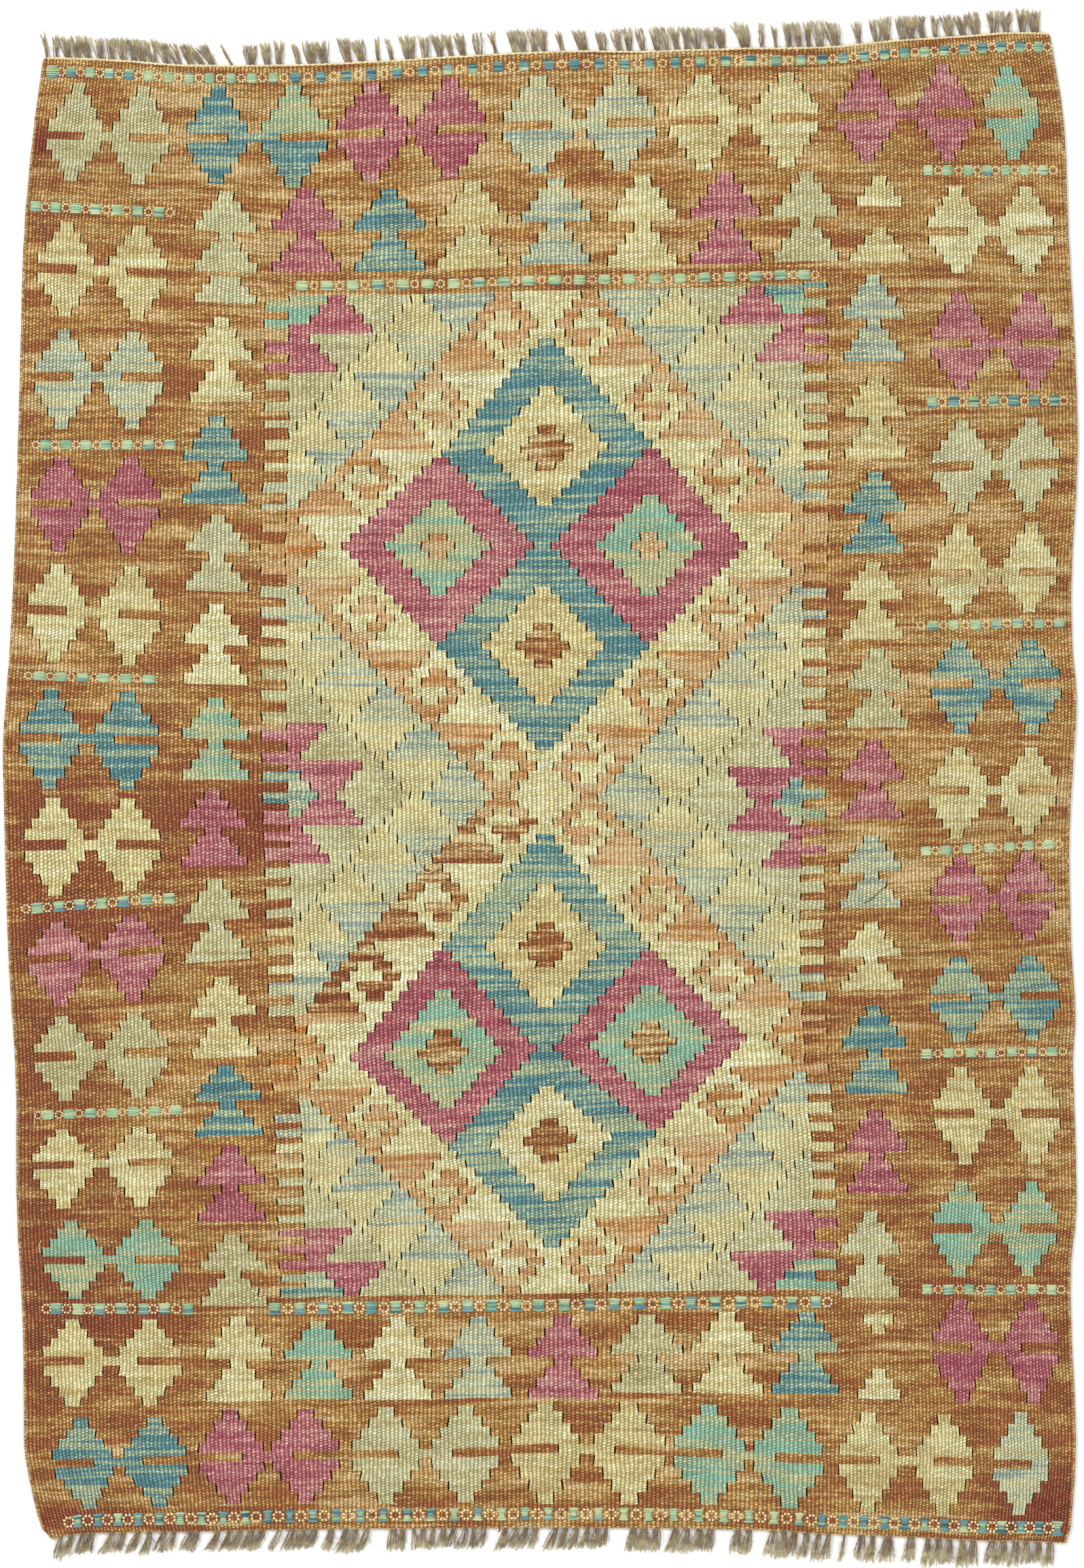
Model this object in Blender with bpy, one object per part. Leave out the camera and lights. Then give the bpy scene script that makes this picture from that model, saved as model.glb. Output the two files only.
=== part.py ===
"""A small flat-woven kilim rug lying flat: one woven sheet and a short warp fringe at each end.

Metres, +Z up. The origin is at the middle of the rug's footprint, on the surface it lies on.
+Y runs along the rug's length and +X across it.
"""

import math

import bpy

MM = 0.001

# Driving dimensions, in millimetres.
CLOTH_THICKNESS = 3.0
FRINGE_THICKNESS = 1.8
PIECE_GAP = 0.3
ROOT_BAND = 2.5
TOOTH_PITCH = 7.0
TOOTH_SLOT = 1.5
TIP_SLOT = 2.5
TIP_SHARE = 0.55
STEPS_PER_ROW = 3
HALF_LENGTH = 637.0

# The four edges of the sheet. Along the ends: x, y. Along the sides: y, x.
FAR_END = (
    (-405.5, 595.5), (-353.0, 594.0), (-292.0, 589.5), (-247.5, 589.0), (-203.0, 589.5),
    (-131.0, 592.5), (-42.0, 598.0), (36.0, 601.0), (74.5, 600.5), (158.0, 603.0),
    (230.5, 604.0), (286.0, 609.0), (352.5, 613.5), (386.0, 616.0), (415.5, 615.5),
)
NEAR_END = (
    (-399.5, -614.5), (-386.5, -611.5), (-358.5, -609.5), (-275.5, -608.5), (-208.5, -607.0),
    (-108.5, -606.0), (2.5, -605.5), (113.5, -606.0), (197.0, -608.0), (230.5, -610.5),
    (302.5, -613.0), (363.5, -616.0), (402.5, -616.5), (429.0, -618.0),
)
LEFT_SIDE = (
    (-614.5, -399.5), (-606.5, -406.5), (-567.5, -416.5), (-539.5, -421.0), (-445.5, -422.0),
    (-328.5, -427.5), (-256.5, -427.5), (-139.5, -434.0), (-23.0, -437.5), (27.0, -438.5),
    (104.5, -433.5), (204.5, -428.5), (366.0, -424.0), (438.0, -422.0), (538.0, -413.5),
    (595.5, -405.5),
)
RIGHT_SIDE = (
    (-618.0, 429.0), (-603.5, 433.0), (-534.0, 437.0), (-417.5, 432.5), (-389.5, 433.0),
    (-345.5, 437.5), (-301.0, 437.0), (-223.0, 434.5), (-189.5, 436.5), (-128.5, 433.0),
    (-51.0, 431.5), (16.0, 434.5), (71.5, 437.5), (116.0, 434.0), (160.5, 433.0),
    (277.0, 438.5), (349.0, 436.5), (449.0, 431.0), (538.0, 427.5), (615.5, 415.5),
)

# The fringe, bundle by bundle: root from x, root to x, lean of the tips along x, length.
FAR_FRINGE = (
    (-404, -400, -5, 23), (-399, -392, -1, 21), (-390, -365, -4, 20), (-364, -346, -3, 20),
    (-345, -311, -4, 21), (-310, -280, -8, 19), (-279, -262, -16, 17), (-252, -249, -10, 18),
    (-242, -231, -1, 20), (-227, -208, -2, 21), (-200, -194, -5, 19), (-192, -171, -3, 20),
    (-162, -141, -4, 21), (-135, -130, -4, 21), (-124, -119, -6, 21), (-113, -100, -3, 22),
    (-97, -89, -3, 21), (-86, -58, -5, 20), (-53, -46, -2, 21), (-39, -33, -4, 21),
    (-25, 8, -4, 20), (16, 21, -3, 19), (30, 42, -5, 19), (46, 55, -3, 19),
    (61, 76, -3, 21), (81, 88, -3, 21), (92, 124, -4, 21), (125, 153, -4, 20),
    (161, 174, -5, 22), (179, 184, -2, 21), (191, 195, -3, 21), (200, 232, -3, 23),
    (236, 249, -4, 23), (258, 265, -3, 21), (271, 288, -2, 21), (291, 317, -2, 21),
    (321, 327, -2, 21), (330, 361, -2, 20), (366, 386, -1, 19), (389, 410, -1, 21),
)
NEAR_FRINGE = (
    (-394, -388, -5, 21), (-386, -361, -7, 19), (-354, -334, -8, 18), (-331, -314, -7, 19),
    (-311, -294, -7, 18), (-290, -275, -7, 18), (-266, -222, -8, 18), (-215, -210, -8, 18),
    (-206, -178, -8, 18), (-175, -167, -8, 19), (-161, -138, -8, 21), (-124, -108, -2, 20),
    (-106, -102, 2, 19), (-99, -75, -4, 18), (-73, -41, -5, 18), (-31, 2, -8, 19),
    (9, 34, -7, 19), (36, 59, -5, 18), (72, 100, -3, 20), (106, 145, -5, 21),
    (158, 175, -4, 22), (186, 223, -4, 23), (225, 240, -4, 23), (247, 252, -4, 23),
    (259, 276, -3, 23), (278, 291, -2, 23), (299, 309, -2, 23), (313, 330, -3, 24),
    (331, 359, -2, 23), (366, 421, -3, 21),
)


def clear_scene():
    for obj in list(bpy.data.objects):
        bpy.data.objects.remove(obj, do_unlink=True)


def new_collection(name):
    collection = bpy.data.collections.new(name)
    bpy.context.scene.collection.children.link(collection)
    return collection


def dyed_wool(name, colour, roughness):
    material = bpy.data.materials.new(name)
    material.use_nodes = True
    shader = material.node_tree.nodes["Principled BSDF"]
    shader.inputs["Base Color"].default_value = (*colour, 1.0)
    shader.inputs["Roughness"].default_value = roughness
    shader.inputs["Metallic"].default_value = 0.0
    material.diffuse_color = (*colour, 1.0)
    return material


def slopes(rows):
    """The slope at each row, flat at a turning point, so that the curve never swings past a row."""
    rises = [(b[1] - a[1]) / (b[0] - a[0]) for a, b in zip(rows, rows[1:])]
    inner = []
    for before, after in zip(rises, rises[1:]):
        inner.append(2 * before * after / (before + after) if before * after > 0 else 0.0)
    return [rises[0], *inner, rises[-1]]


def height_on(rows, at):
    """The smooth curve through the rows, read at one place along it."""
    tilt = slopes(rows)
    last = len(rows) - 2
    k = min(last, max(0, sum(1 for row in rows[1:] if row[0] <= at)))
    (x0, y0), (x1, y1) = rows[k], rows[k + 1]
    span = x1 - x0
    t = (at - x0) / span
    start = (1 + 2 * t) * (1 - t) ** 2 * y0 + t * (1 - t) ** 2 * span * tilt[k]
    end = t * t * (3 - 2 * t) * y1 + t * t * (t - 1) * span * tilt[k + 1]
    return start + end


def edge_points(rows):
    """Points along an edge: each row, and a few between it and the next."""
    points = []
    for (a, _), (b, _) in zip(rows, rows[1:]):
        for step in range(STEPS_PER_ROW):
            at = a + (b - a) * step / STEPS_PER_ROW
            points.append((at, height_on(rows, at)))
    points.append(rows[-1])
    return points


def sheet_outline():
    """Anticlockwise from the near left corner."""
    near = edge_points(NEAR_END)
    right = [(x, y) for y, x in edge_points(RIGHT_SIDE)]
    far = edge_points(FAR_END)
    left = [(x, y) for y, x in edge_points(LEFT_SIDE)]
    return near[:-1] + right[:-1] + far[:0:-1] + left[:0:-1]


def flat_piece(name, outline, thickness, material, collection):
    """A flat outline in millimetres, filled and given its thickness, resting on z = 0."""
    curve = bpy.data.curves.new(name, "CURVE")
    curve.dimensions = "2D"
    curve.fill_mode = "BOTH"
    curve.extrude = thickness * MM / 2
    spline = curve.splines.new("POLY")
    spline.points.add(len(outline) - 1)
    for point, (x, y) in zip(spline.points, outline):
        point.co = (x * MM, y * MM, 0.0, 1.0)
    spline.use_cyclic_u = True
    curve.materials.append(material)
    piece = bpy.data.objects.new(name, curve)
    piece.location = (0.0, 0.0, thickness * MM / 2)
    collection.objects.link(piece)
    return piece


def teeth(bundles):
    """Splits each bundle into teeth of about one pitch: from, to, lean, length."""
    found = []
    for start, end, lean, length in bundles:
        count = max(1, round((end - start) / TOOTH_PITCH))
        width = (end - start + TOOTH_SLOT) / count
        for k in range(count):
            ripple = math.sin(2.4 * k + 0.05 * start)
            left = start + k * width
            found.append((left, left + width - TOOTH_SLOT, lean + 0.6 * ripple, length + 0.8 * ripple))
    return found


def comb_outline(bundles, end_rows, outward):
    """The comb beside an end of the sheet; outward is +1 at the far end and -1 at the near end."""
    comb = teeth(bundles)
    start, end = comb[0][0], comb[-1][1]
    places = [start, *(x for x, _ in edge_points(end_rows) if start < x < end), end]
    inner = [(x, height_on(end_rows, x) + outward * PIECE_GAP) for x in places]
    outer = []
    clear_of = -math.inf
    for left, right, lean, length in comb:
        middle = (left + right) / 2
        half_tip = TIP_SHARE * (right - left) / 2
        root = height_on(end_rows, middle) + outward * (PIECE_GAP + ROOT_BAND)
        tip = height_on(end_rows, middle) + outward * length
        tip = min(HALF_LENGTH, max(-HALF_LENGTH, tip))
        tip_x = max(middle + lean, clear_of + half_tip + TIP_SLOT)
        outer.append((left, root))
        outer.append((tip_x - half_tip, tip - outward * half_tip))
        outer.append((tip_x, tip))
        outer.append((tip_x + half_tip, tip - outward * half_tip))
        outer.append((right, root))
        clear_of = tip_x + half_tip
    return inner + outer[::-1]


def build():
    clear_scene()
    rug = new_collection("kilim_rug")
    cloth_wool = dyed_wool("kilim_wool", (0.42, 0.17, 0.07), 0.9)
    warp_wool = dyed_wool("warp_wool", (0.33, 0.28, 0.22), 0.9)
    flat_piece("rug_cloth", sheet_outline(), CLOTH_THICKNESS, cloth_wool, rug)
    far = comb_outline(FAR_FRINGE, FAR_END, 1)
    near = comb_outline(NEAR_FRINGE, NEAR_END, -1)
    flat_piece("fringe_top", far, FRINGE_THICKNESS, warp_wool, rug)
    flat_piece("fringe_bottom", near, FRINGE_THICKNESS, warp_wool, rug)


build()
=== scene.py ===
"""A flat-woven kilim rug laid on a pale floor.

The cloth is drawn as it is woven: rib by rib across (the warps) and pick by pick along (the wefts). A place
on the loom is a rib number, counted from the middle of the field, and a level in millimetres up the middle of
the cloth. loom_to_floor turns such a place into millimetres on the floor, because a handwoven cloth leans and
bulges.
"""
import math
import random

import bpy
import numpy as np
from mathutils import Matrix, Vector
from mathutils.geometry import delaunay_2d_cdt


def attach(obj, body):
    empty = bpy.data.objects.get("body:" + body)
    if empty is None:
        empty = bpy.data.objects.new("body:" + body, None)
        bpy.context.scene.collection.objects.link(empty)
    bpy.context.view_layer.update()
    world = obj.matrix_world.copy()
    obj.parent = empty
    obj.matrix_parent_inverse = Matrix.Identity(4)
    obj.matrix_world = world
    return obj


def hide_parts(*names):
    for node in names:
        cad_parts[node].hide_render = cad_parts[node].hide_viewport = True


bl_info = {
    "name": "Kilim rug",
    "version": (1, 0, 0),
    "blender": (4, 5, 0),
    "location": "3D View > Sidebar > Kilim",
    "description": "Weaves a flat kilim rug with slit-woven motifs, wrapped lines, selvedges and fringe",
    "category": "Add Mesh",
}

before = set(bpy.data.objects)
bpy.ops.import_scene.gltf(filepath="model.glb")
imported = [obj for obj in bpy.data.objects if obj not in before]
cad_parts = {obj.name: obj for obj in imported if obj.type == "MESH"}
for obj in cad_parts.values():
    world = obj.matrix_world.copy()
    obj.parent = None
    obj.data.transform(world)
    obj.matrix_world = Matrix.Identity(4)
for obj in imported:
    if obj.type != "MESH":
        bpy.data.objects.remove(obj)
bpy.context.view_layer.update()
MM = 0.001

# --------------------------------------------------------------------------------------------------
# The loom: ribs, levels and how the finished cloth lies
# --------------------------------------------------------------------------------------------------

LEFT_RIB, RIGHT_RIB = -130, 132
RIB_COUNT = RIGHT_RIB - LEFT_RIB
# The last rib of the field on both sides, before the border.
FIELD_RIB = 58
FAR_LEVEL, NEAR_LEVEL = 601.0, -605.5
PICK_COUNT = 2194
PICK = (FAR_LEVEL - NEAR_LEVEL) / PICK_COUNT
# Millimetres up the cloth from one bead of weft to the next on the same rib, and usually from rib to rib.
BEAT = 2.2
USUAL_RIB = 3.3
# How much wider the border's ribs are next to the field than at the selvedge.
BORDER_EASE = 0.08
# Rounds in which a place on the floor settles, because lean and rib depend on each other.
SETTLING = 3
# How far ribs and wefts wander from their place in millimetres, and the share of that left at the outline.
WANDER_X, WANDER_Y = 1.6, 0.7
WANDER_FADE = 26.0
WANDER_AT_RIM = 0.15
# Uneven surfaces, for waves(): seed, number of waves, shortest and longest wave in millimetres.
WANDER_X_WAVES = (13, 8, 9, 40)
WANDER_Y_WAVES = (14, 8, 9, 40)
SWELL_WAVES = (11, 6, 170, 420)
PUCKER_WAVES = (12, 14, 14, 34)
# How far the underside stands off the floor: least, at the swells and in the pucker of the weave.
LEAST_LIFT = 0.08
SWELL_HEIGHT = 0.9
SWELL_POWER = 1.5
PUCKER_HEIGHT = 0.28

# Where the ribs of the field run. Level, middle rib's x, rib pitch left of it, rib pitch right of it.
FIELD_RIBS = (
    (-415, 10.8, 3.43, 3.64), (-373, 9.7, 3.43, 3.64), (-290, 7.5, 3.43, 3.64), (-215, 3.6, 3.46, 3.60),
    (-131, 4.2, 3.50, 3.53), (-6, 4.2, 3.57, 3.57), (116, 1.9, 3.57, 3.61), (199, 1.9, 3.57, 3.63),
    (283, 5.3, 3.58, 3.58), (405, 5.3, 3.58, 3.56),
)

# How far the cloth lies above its level, at each of these x.
LEAN_X = (-420, -310, -205, -140, -80, 0, 90, 150, 210, 310, 420)
LEAN = (
    (601, -5.5, -10.2, -11.5, -8.9, -5.3, -1.4, 0.0, 1.8, 2.7, 9.6, 14.5),
    (541, -8.3, -11.4, -10.0, -6.2, -3.6, -0.1, 2.8, 4.3, 6.0, 9.5, 10.0),
    (496, 3.4, -2.4, -8.1, -6.9, -3.8, -0.1, 2.4, 4.4, 5.9, 6.0, 6.0),
    (460, 4.4, -1.1, -6.3, -5.3, -3.2, -0.1, 1.9, 3.6, 5.3, 5.5, 5.5),
    (421, 6.3, 0.8, -4.4, -3.6, -2.6, -0.1, 1.3, 2.7, 4.7, 4.9, 4.9),
    (377, 2.0, -1.3, -4.5, -3.9, -3.2, -0.1, 1.9, 3.1, 4.6, 4.8, 4.8),
    (332, -4.5, -4.5, -4.5, -4.1, -3.8, -0.1, 2.6, 3.5, 4.5, 4.6, 4.6),
    (280, -4.4, -4.4, -4.4, -4.4, -4.4, -0.1, 3.3, 3.9, 4.4, 7.5, 11.2),
    (232, -1.9, -1.9, -1.9, -1.9, -1.9, -0.1, 1.4, 1.6, 1.9, 4.5, 7.7),
    (198, 4.3, 2.1, 0.0, 0.0, 0.0, 0.0, 0.0, 0.0, 0.0, 0.9, 1.9),
    (144, 10.8, 5.3, 0.1, 0.0, 0.0, 0.0, 0.0, 0.0, 0.0, 2.1, 4.5),
    (116, 8.7, 4.3, 0.1, 0.0, 0.0, 0.0, 0.0, 0.0, 0.0, 1.8, 4.0),
    (85, 6.4, 3.1, 0.1, 0.0, 0.0, 0.0, -1.1, -1.6, -1.8, -1.8, -1.8),
    (40, 4.3, 2.1, 0.0, 0.0, 0.0, 0.0, -2.7, -3.9, -4.5, -4.5, -4.5),
    (-7, 2.0, 1.0, 0.0, 0.0, 0.0, 0.0, -4.4, -6.2, -7.2, -6.7, -6.0),
    (-47, 0.0, 0.0, 0.0, 0.0, 0.0, 0.0, -3.0, -4.2, -4.9, 0.6, 7.0),
    (-90, -19.5, -9.6, -0.2, 0.0, 0.0, 0.0, -1.5, -2.1, -2.4, 0.5, 4.0),
    (-131, -17.7, -8.7, -0.2, 0.0, 0.0, 0.0, 0.0, 0.0, 0.0, 2.8, 6.1),
    (-173, -17.1, -11.1, -5.4, -3.7, -2.1, -0.1, 2.3, 3.9, 5.5, 8.4, 11.6),
    (-215, -19.5, -15.0, -10.6, -7.3, -4.2, -0.1, 4.6, 7.8, 10.9, 13.0, 15.3),
    (-288, -20.3, -16.8, -13.4, -9.2, -5.4, -0.2, 5.8, 9.7, 13.7, 13.9, 13.9),
    (-334, -13.8, -11.6, -9.5, -6.5, -3.7, -0.1, 4.3, 7.2, 9.8, 10.0, 10.0),
    (-414, -2.8, -2.8, -2.8, -1.7, -0.8, 0.0, 1.8, 3.0, 3.3, 3.3, 3.3),
    (-469, -3.5, -3.5, -3.5, -2.7, -2.0, -0.1, 0.2, -0.4, -2.0, -2.6, -3.2),
    (-506, -7.0, -5.5, -4.0, -3.4, -2.8, -0.1, -0.9, -2.7, -5.6, -8.1, -10.9),
    (-541, -11.9, -8.3, -4.8, -4.0, -3.5, -0.1, -1.9, -4.8, -8.9, -10.9, -12.8),
    (-605.5, -9.0, -3.4, -1.5, -0.8, -0.4, 0.0, -0.4, -1.4, -3.5, -7.9, -12.0),
)


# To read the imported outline: its upper face, its proportions, and how strongly x counts towards a corner.
CORNER_SIGNS = ((-1, -1), (1, -1), (1, 1), (-1, 1))
TOP_SHARE = 0.9
ASPECT = 0.7
CORNER_PULL = 1.45


def cad_outline():
    """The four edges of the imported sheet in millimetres: far and near as (x, y), left and right as (y, x)."""
    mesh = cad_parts["rug_cloth"].data
    top = max(v.co.z for v in mesh.vertices)
    upper = [v.co for v in mesh.vertices if v.co.z > TOP_SHARE * top]
    rim = {(round(co.x / MM, 3), round(co.y / MM, 3)) for co in upper}
    ring = sorted(rim, key=lambda p: math.atan2(p[1] * ASPECT, p[0]))
    corners = [max(ring, key=lambda p: sx * p[0] * CORNER_PULL + sy * p[1]) for sx, sy in CORNER_SIGNS]
    near_left, near_right, far_right, far_left = (ring.index(c) for c in corners)

    def stretch(start, end):
        return ring[start:end + 1] if start <= end else ring[start:] + ring[:end + 1]

    return {
        "near": sorted(stretch(near_left, near_right)),
        "right": sorted((y, x) for x, y in stretch(near_right, far_right)),
        "far": sorted(stretch(far_right, far_left)),
        "left": sorted((y, x) for x, y in stretch(far_left, near_left)),
    }


OUTLINE = {side: np.array(points) for side, points in cad_outline().items()}
LEAN_TABLE = np.array(LEAN[::-1], float)
FIELD_TABLE = np.array(FIELD_RIBS, float)


def along(side, at):
    """The outline's height at places along one side."""
    return np.interp(at, OUTLINE[side][:, 0], OUTLINE[side][:, 1])


def waves(x, y, seed, count, shortest, longest):
    """A smooth uneven surface from -1 to 1: a sum of sine waves in fixed random directions."""
    draw = random.Random(seed)
    total = np.zeros_like(np.asarray(x, float))
    for _ in range(count):
        length = draw.uniform(shortest, longest)
        turn = draw.uniform(0, 2 * math.pi)
        phase = draw.uniform(0, 2 * math.pi)
        total += np.sin((x * math.cos(turn) + y * math.sin(turn)) * 2 * math.pi / length + phase)
    return total / count


def lean_at(level, x):
    """How far the cloth lies above its level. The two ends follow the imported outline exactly."""
    level, x = np.broadcast_arrays(np.asarray(level, float), np.asarray(x, float))
    levels = LEAN_TABLE[:, 0]
    row = np.clip(np.searchsorted(levels, level) - 1, 0, len(levels) - 2)
    across = np.array([np.interp(x, LEAN_X, values) for values in LEAN_TABLE[:, 1:]])
    across[0] = along("near", x) - NEAR_LEVEL
    across[-1] = along("far", x) - FAR_LEVEL
    share = np.clip((level - levels[row]) / (levels[row + 1] - levels[row]), 0, 1)
    below = np.take_along_axis(across, row[None], 0)[0]
    above = np.take_along_axis(across, row[None] + 1, 0)[0]
    return below * (1 - share) + above * share


def rib_to_x(rib, y):
    """Where a rib runs at a height on the floor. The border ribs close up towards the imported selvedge."""
    rib, y = np.broadcast_arrays(np.asarray(rib, float), np.asarray(y, float))
    levels = FIELD_TABLE[:, 0]
    middle, left_pitch, right_pitch = (np.interp(y, levels, FIELD_TABLE[:, k]) for k in (1, 2, 3))
    x = middle + rib * np.where(rib < 0, left_pitch, right_pitch)
    for side, last, pitch in (("left", LEFT_RIB, left_pitch), ("right", RIGHT_RIB, right_pitch)):
        sign = math.copysign(1, last)
        share = (sign * rib - FIELD_RIB) / (abs(last) - FIELD_RIB)
        share = share + BORDER_EASE * share * (1 - share)
        start = middle + sign * FIELD_RIB * pitch
        x = np.where(sign * rib > FIELD_RIB, start + (along(side, y) - start) * share, x)
    return x


def loom_to_floor(rib, level):
    """Rib numbers and levels as x and y on the floor, in millimetres."""
    rib, level = np.asarray(rib, float), np.asarray(level, float)
    x = rib_to_x(rib, level)
    y = level
    for _ in range(SETTLING):
        y = np.asarray(level, float) + lean_at(level, x)
        x = rib_to_x(rib, y)
    room = np.minimum(np.minimum(rib - LEFT_RIB, RIGHT_RIB - rib) * USUAL_RIB,
                      np.minimum(level - NEAR_LEVEL, FAR_LEVEL - level))
    share = np.clip(room / WANDER_FADE, WANDER_AT_RIM, 1.0)
    moved_x = x + share * WANDER_X * waves(x, y, *WANDER_X_WAVES)
    moved_y = y + share * WANDER_Y * waves(x, y, *WANDER_Y_WAVES)
    return moved_x, moved_y


def lift(x, y):
    """How far the underside stands off the floor, in millimetres: a soft, slightly wavy cloth."""
    swell = waves(x, y, *SWELL_WAVES)
    pucker = waves(x, y, *PUCKER_WAVES)
    return LEAST_LIFT + SWELL_HEIGHT * np.maximum(0, swell) ** SWELL_POWER + PUCKER_HEIGHT * (1 + pucker)


# --------------------------------------------------------------------------------------------------
# The motifs
# --------------------------------------------------------------------------------------------------

DYES = (
    "ground", "cream", "straw", "sage", "ice", "blue", "turquoise", "magenta", "salmon", "rust", "arrow",
)

# Paired diamonds. Dye, middle rib of the left one, middle rib of the right one, top, bar and bottom level.
PAIRED_DIAMONDS = (
    ("sage", -118, -99, 583, 541, 494), ("blue", -78, -58, 585, 541, 498),
    ("magenta", -40, -22, 584, 541, 502), ("ice", -2, 17, 582, 541, 502), ("cream", 36, 55, 580, 541, 501),
    ("magenta", 76, 98, 580, 541, 505), ("cream", -118, -98, 459, 419, 383),
    ("ice", -118, -99, 373, 339, 297), ("magenta", -118, -99, 274, 234, 187),
    ("cream", -118, -98, 176, 135, 95), ("blue", -118, -98, 74, 36, -4),
    ("cream", -117, -98, -11, -47, -77), ("magenta", -117, -98, -93, -124, -164),
    ("sage", -117, -98, -172, -203, -238), ("cream", -118, -98, -261, -290, -331),
    ("turquoise", -116, -97, -343, -380, -416), ("cream", -117, -97, -433, -466, -501),
    ("cream", 100, 120, 485, 449, 415), ("magenta", 100, 120, 400, 358, 319),
    ("sage", 100, 119, 292, 255, 220), ("cream", 100, 120, 212, 173, 139), ("blue", 100, 120, 117, 86, 47),
    ("cream", 100, 120, 37, 3, -44), ("magenta", 101, 120, -59, -94, -131),
    ("blue", 100, 120, -145, -183, -222), ("cream", 100, 120, -243, -281, -320),
    ("turquoise", 99, 119, -333, -368, -404), ("magenta", 99, 120, -422, -457, -496),
    ("blue", -115, -96, -510, -543, -584), ("magenta", -77, -59, -505, -542, -583),
    ("sage", -40, -21, -504, -542, -584), ("cream", -2, 17, -502, -541, -586),
    ("turquoise", 35, 53, -503, -541, -585), ("cream", 73, 94, -505, -541, -586),
)
# Single diamonds at the ends of the two rows. Dye, middle rib, top, bar, bottom, side the bar starts from.
SINGLE_DIAMONDS = (
    ("turquoise", 117, 576, 541, 506, -1),
    ("ice", 116, -502, -542, -584, -1),
)
# Diamonds whose upper half was finished in another dye. Dye, middle rib, top, bar.
CHANGED_HALVES = (("turquoise", -58, 585, 541),)
# Small trees. Dye, middle rib, top level, bottom level.
TREES = (
    ("sage", -75, 492, 423), ("magenta", -55, 497, 425), ("blue", -36, 495, 425), ("cream", -17, 497, 426),
    ("ice", 2, 497, 427), ("cream", 22, 497, 424), ("magenta", 41, 498, 425), ("sage", 60, 497, 425),
    ("cream", -76, 386, 319), ("blue", -77, 308, 233), ("sage", -76, 224, 157), ("cream", -76, 146, 82),
    ("turquoise", -76, 71, 5), ("magenta", -77, -4, -63), ("sage", -77, -72, -137),
    ("cream", -76, -149, -209), ("blue", -76, -215, -271), ("magenta", -76, -279, -346),
    ("sage", -76, -358, -422), ("cream", -75, -430, -498), ("ice", 77, 414, 343), ("cream", 77, 331, 263),
    ("blue", 77, 253, 190), ("cream", 77, 183, 120), ("sage", 78, 112, 52), ("magenta", 77, 43, -21),
    ("ice", 77, -37, -99), ("cream", 77, -111, -173), ("blue", 77, -188, -264), ("magenta", 76, -278, -342),
    ("sage", 74, -356, -420), ("turquoise", -56, -434, -497), ("cream", -37, -432, -498),
    ("ice", -18, -433, -498), ("magenta", 2, -433, -500), ("sage", 21, -433, -495),
    ("cream", 39, -431, -494), ("blue", 57, -431, -492),
)
# Left-over half figures. Dye, middle rib, top, bottom, then half the width of each row from the top, in ribs.
HALF_FIGURES = (
    ("cream", 79, 493, 469, (2, 4, 6)), ("cream", 79, 452, 425, (2, 4, 6, 8)),
    ("sage", -75, 419, 398, (4, 6, 8)), ("cream", 76, -433, -447, (4, 2)),
    ("cream", 76, -473, -495, (2, 4, 6)),
)
DIAMOND_ROWS = (2, 4, 6, 8)
TREE_ROWS = (2, 4, 6, 8, 2, 4, 6, 8)
BAR_HEIGHT = 7.4
BAR_RIBS = 11

# The field's rows are even steps between these. Row, level of its top.
FIELD_ROWS = (
    (0, 405.8), (5, 366.9), (16, 280.3), (27, 200.8), (28, 193.6), (38, 119.2), (49, 37.5), (54, -3.1),
    (55, -10.8), (59, -38.6), (70, -126.4), (81, -210.3), (82, -217.5), (92, -285.3), (103, -369.7),
    (109, -414.7),
)
ROWS_IN_FIELD = 109
MEDALLION_ROWS = 54
PART_ROWS = 27
EDGE_RIB = 59
TOOTH_RIB = 65
STEP = 2
EDGE = EDGE_RIB / STEP
# The rows in which the band is darker along its left side.
DARKER_ROWS = range(57, 81)
# One repeat of the stepped band beside the medallions: for each row, steps from its inner corner.
BAND_REPEAT = (
    ((0, 2),), ((-1, 3),), ((-2, 0), (2, 4)), ((-3, -1), (3, 5)),
    ((-2, 2), (4, 6)), ((-1, 1), (3, 7)), ((2, 8),), ((1, 9),),
)
SMALL_DIAMOND = (1, 2, 3, 2, 1)
SMALL_CROSS = (1, 2, 1)
# Dyes of the rows that fill the corner pieces. Side, then the dye of each row.
CORNER_FILLS = (
    (-1, {0: "turquoise", 1: "turquoise", 2: "turquoise"}),
    (1, {0: "blue", 1: "turquoise", 2: "turquoise"}),
    (-1, {52: "blue", 53: "ice", 54: "blue", 55: "ice", 56: "turquoise"}),
    (1, {52: "blue", 53: "blue", 54: "blue", 55: "turquoise", 56: "ice"}),
    (-1, {106: "turquoise", 107: "ice", 108: "blue"}),
    (1, {106: "turquoise", 107: "blue", 108: "turquoise"}),
)
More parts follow.
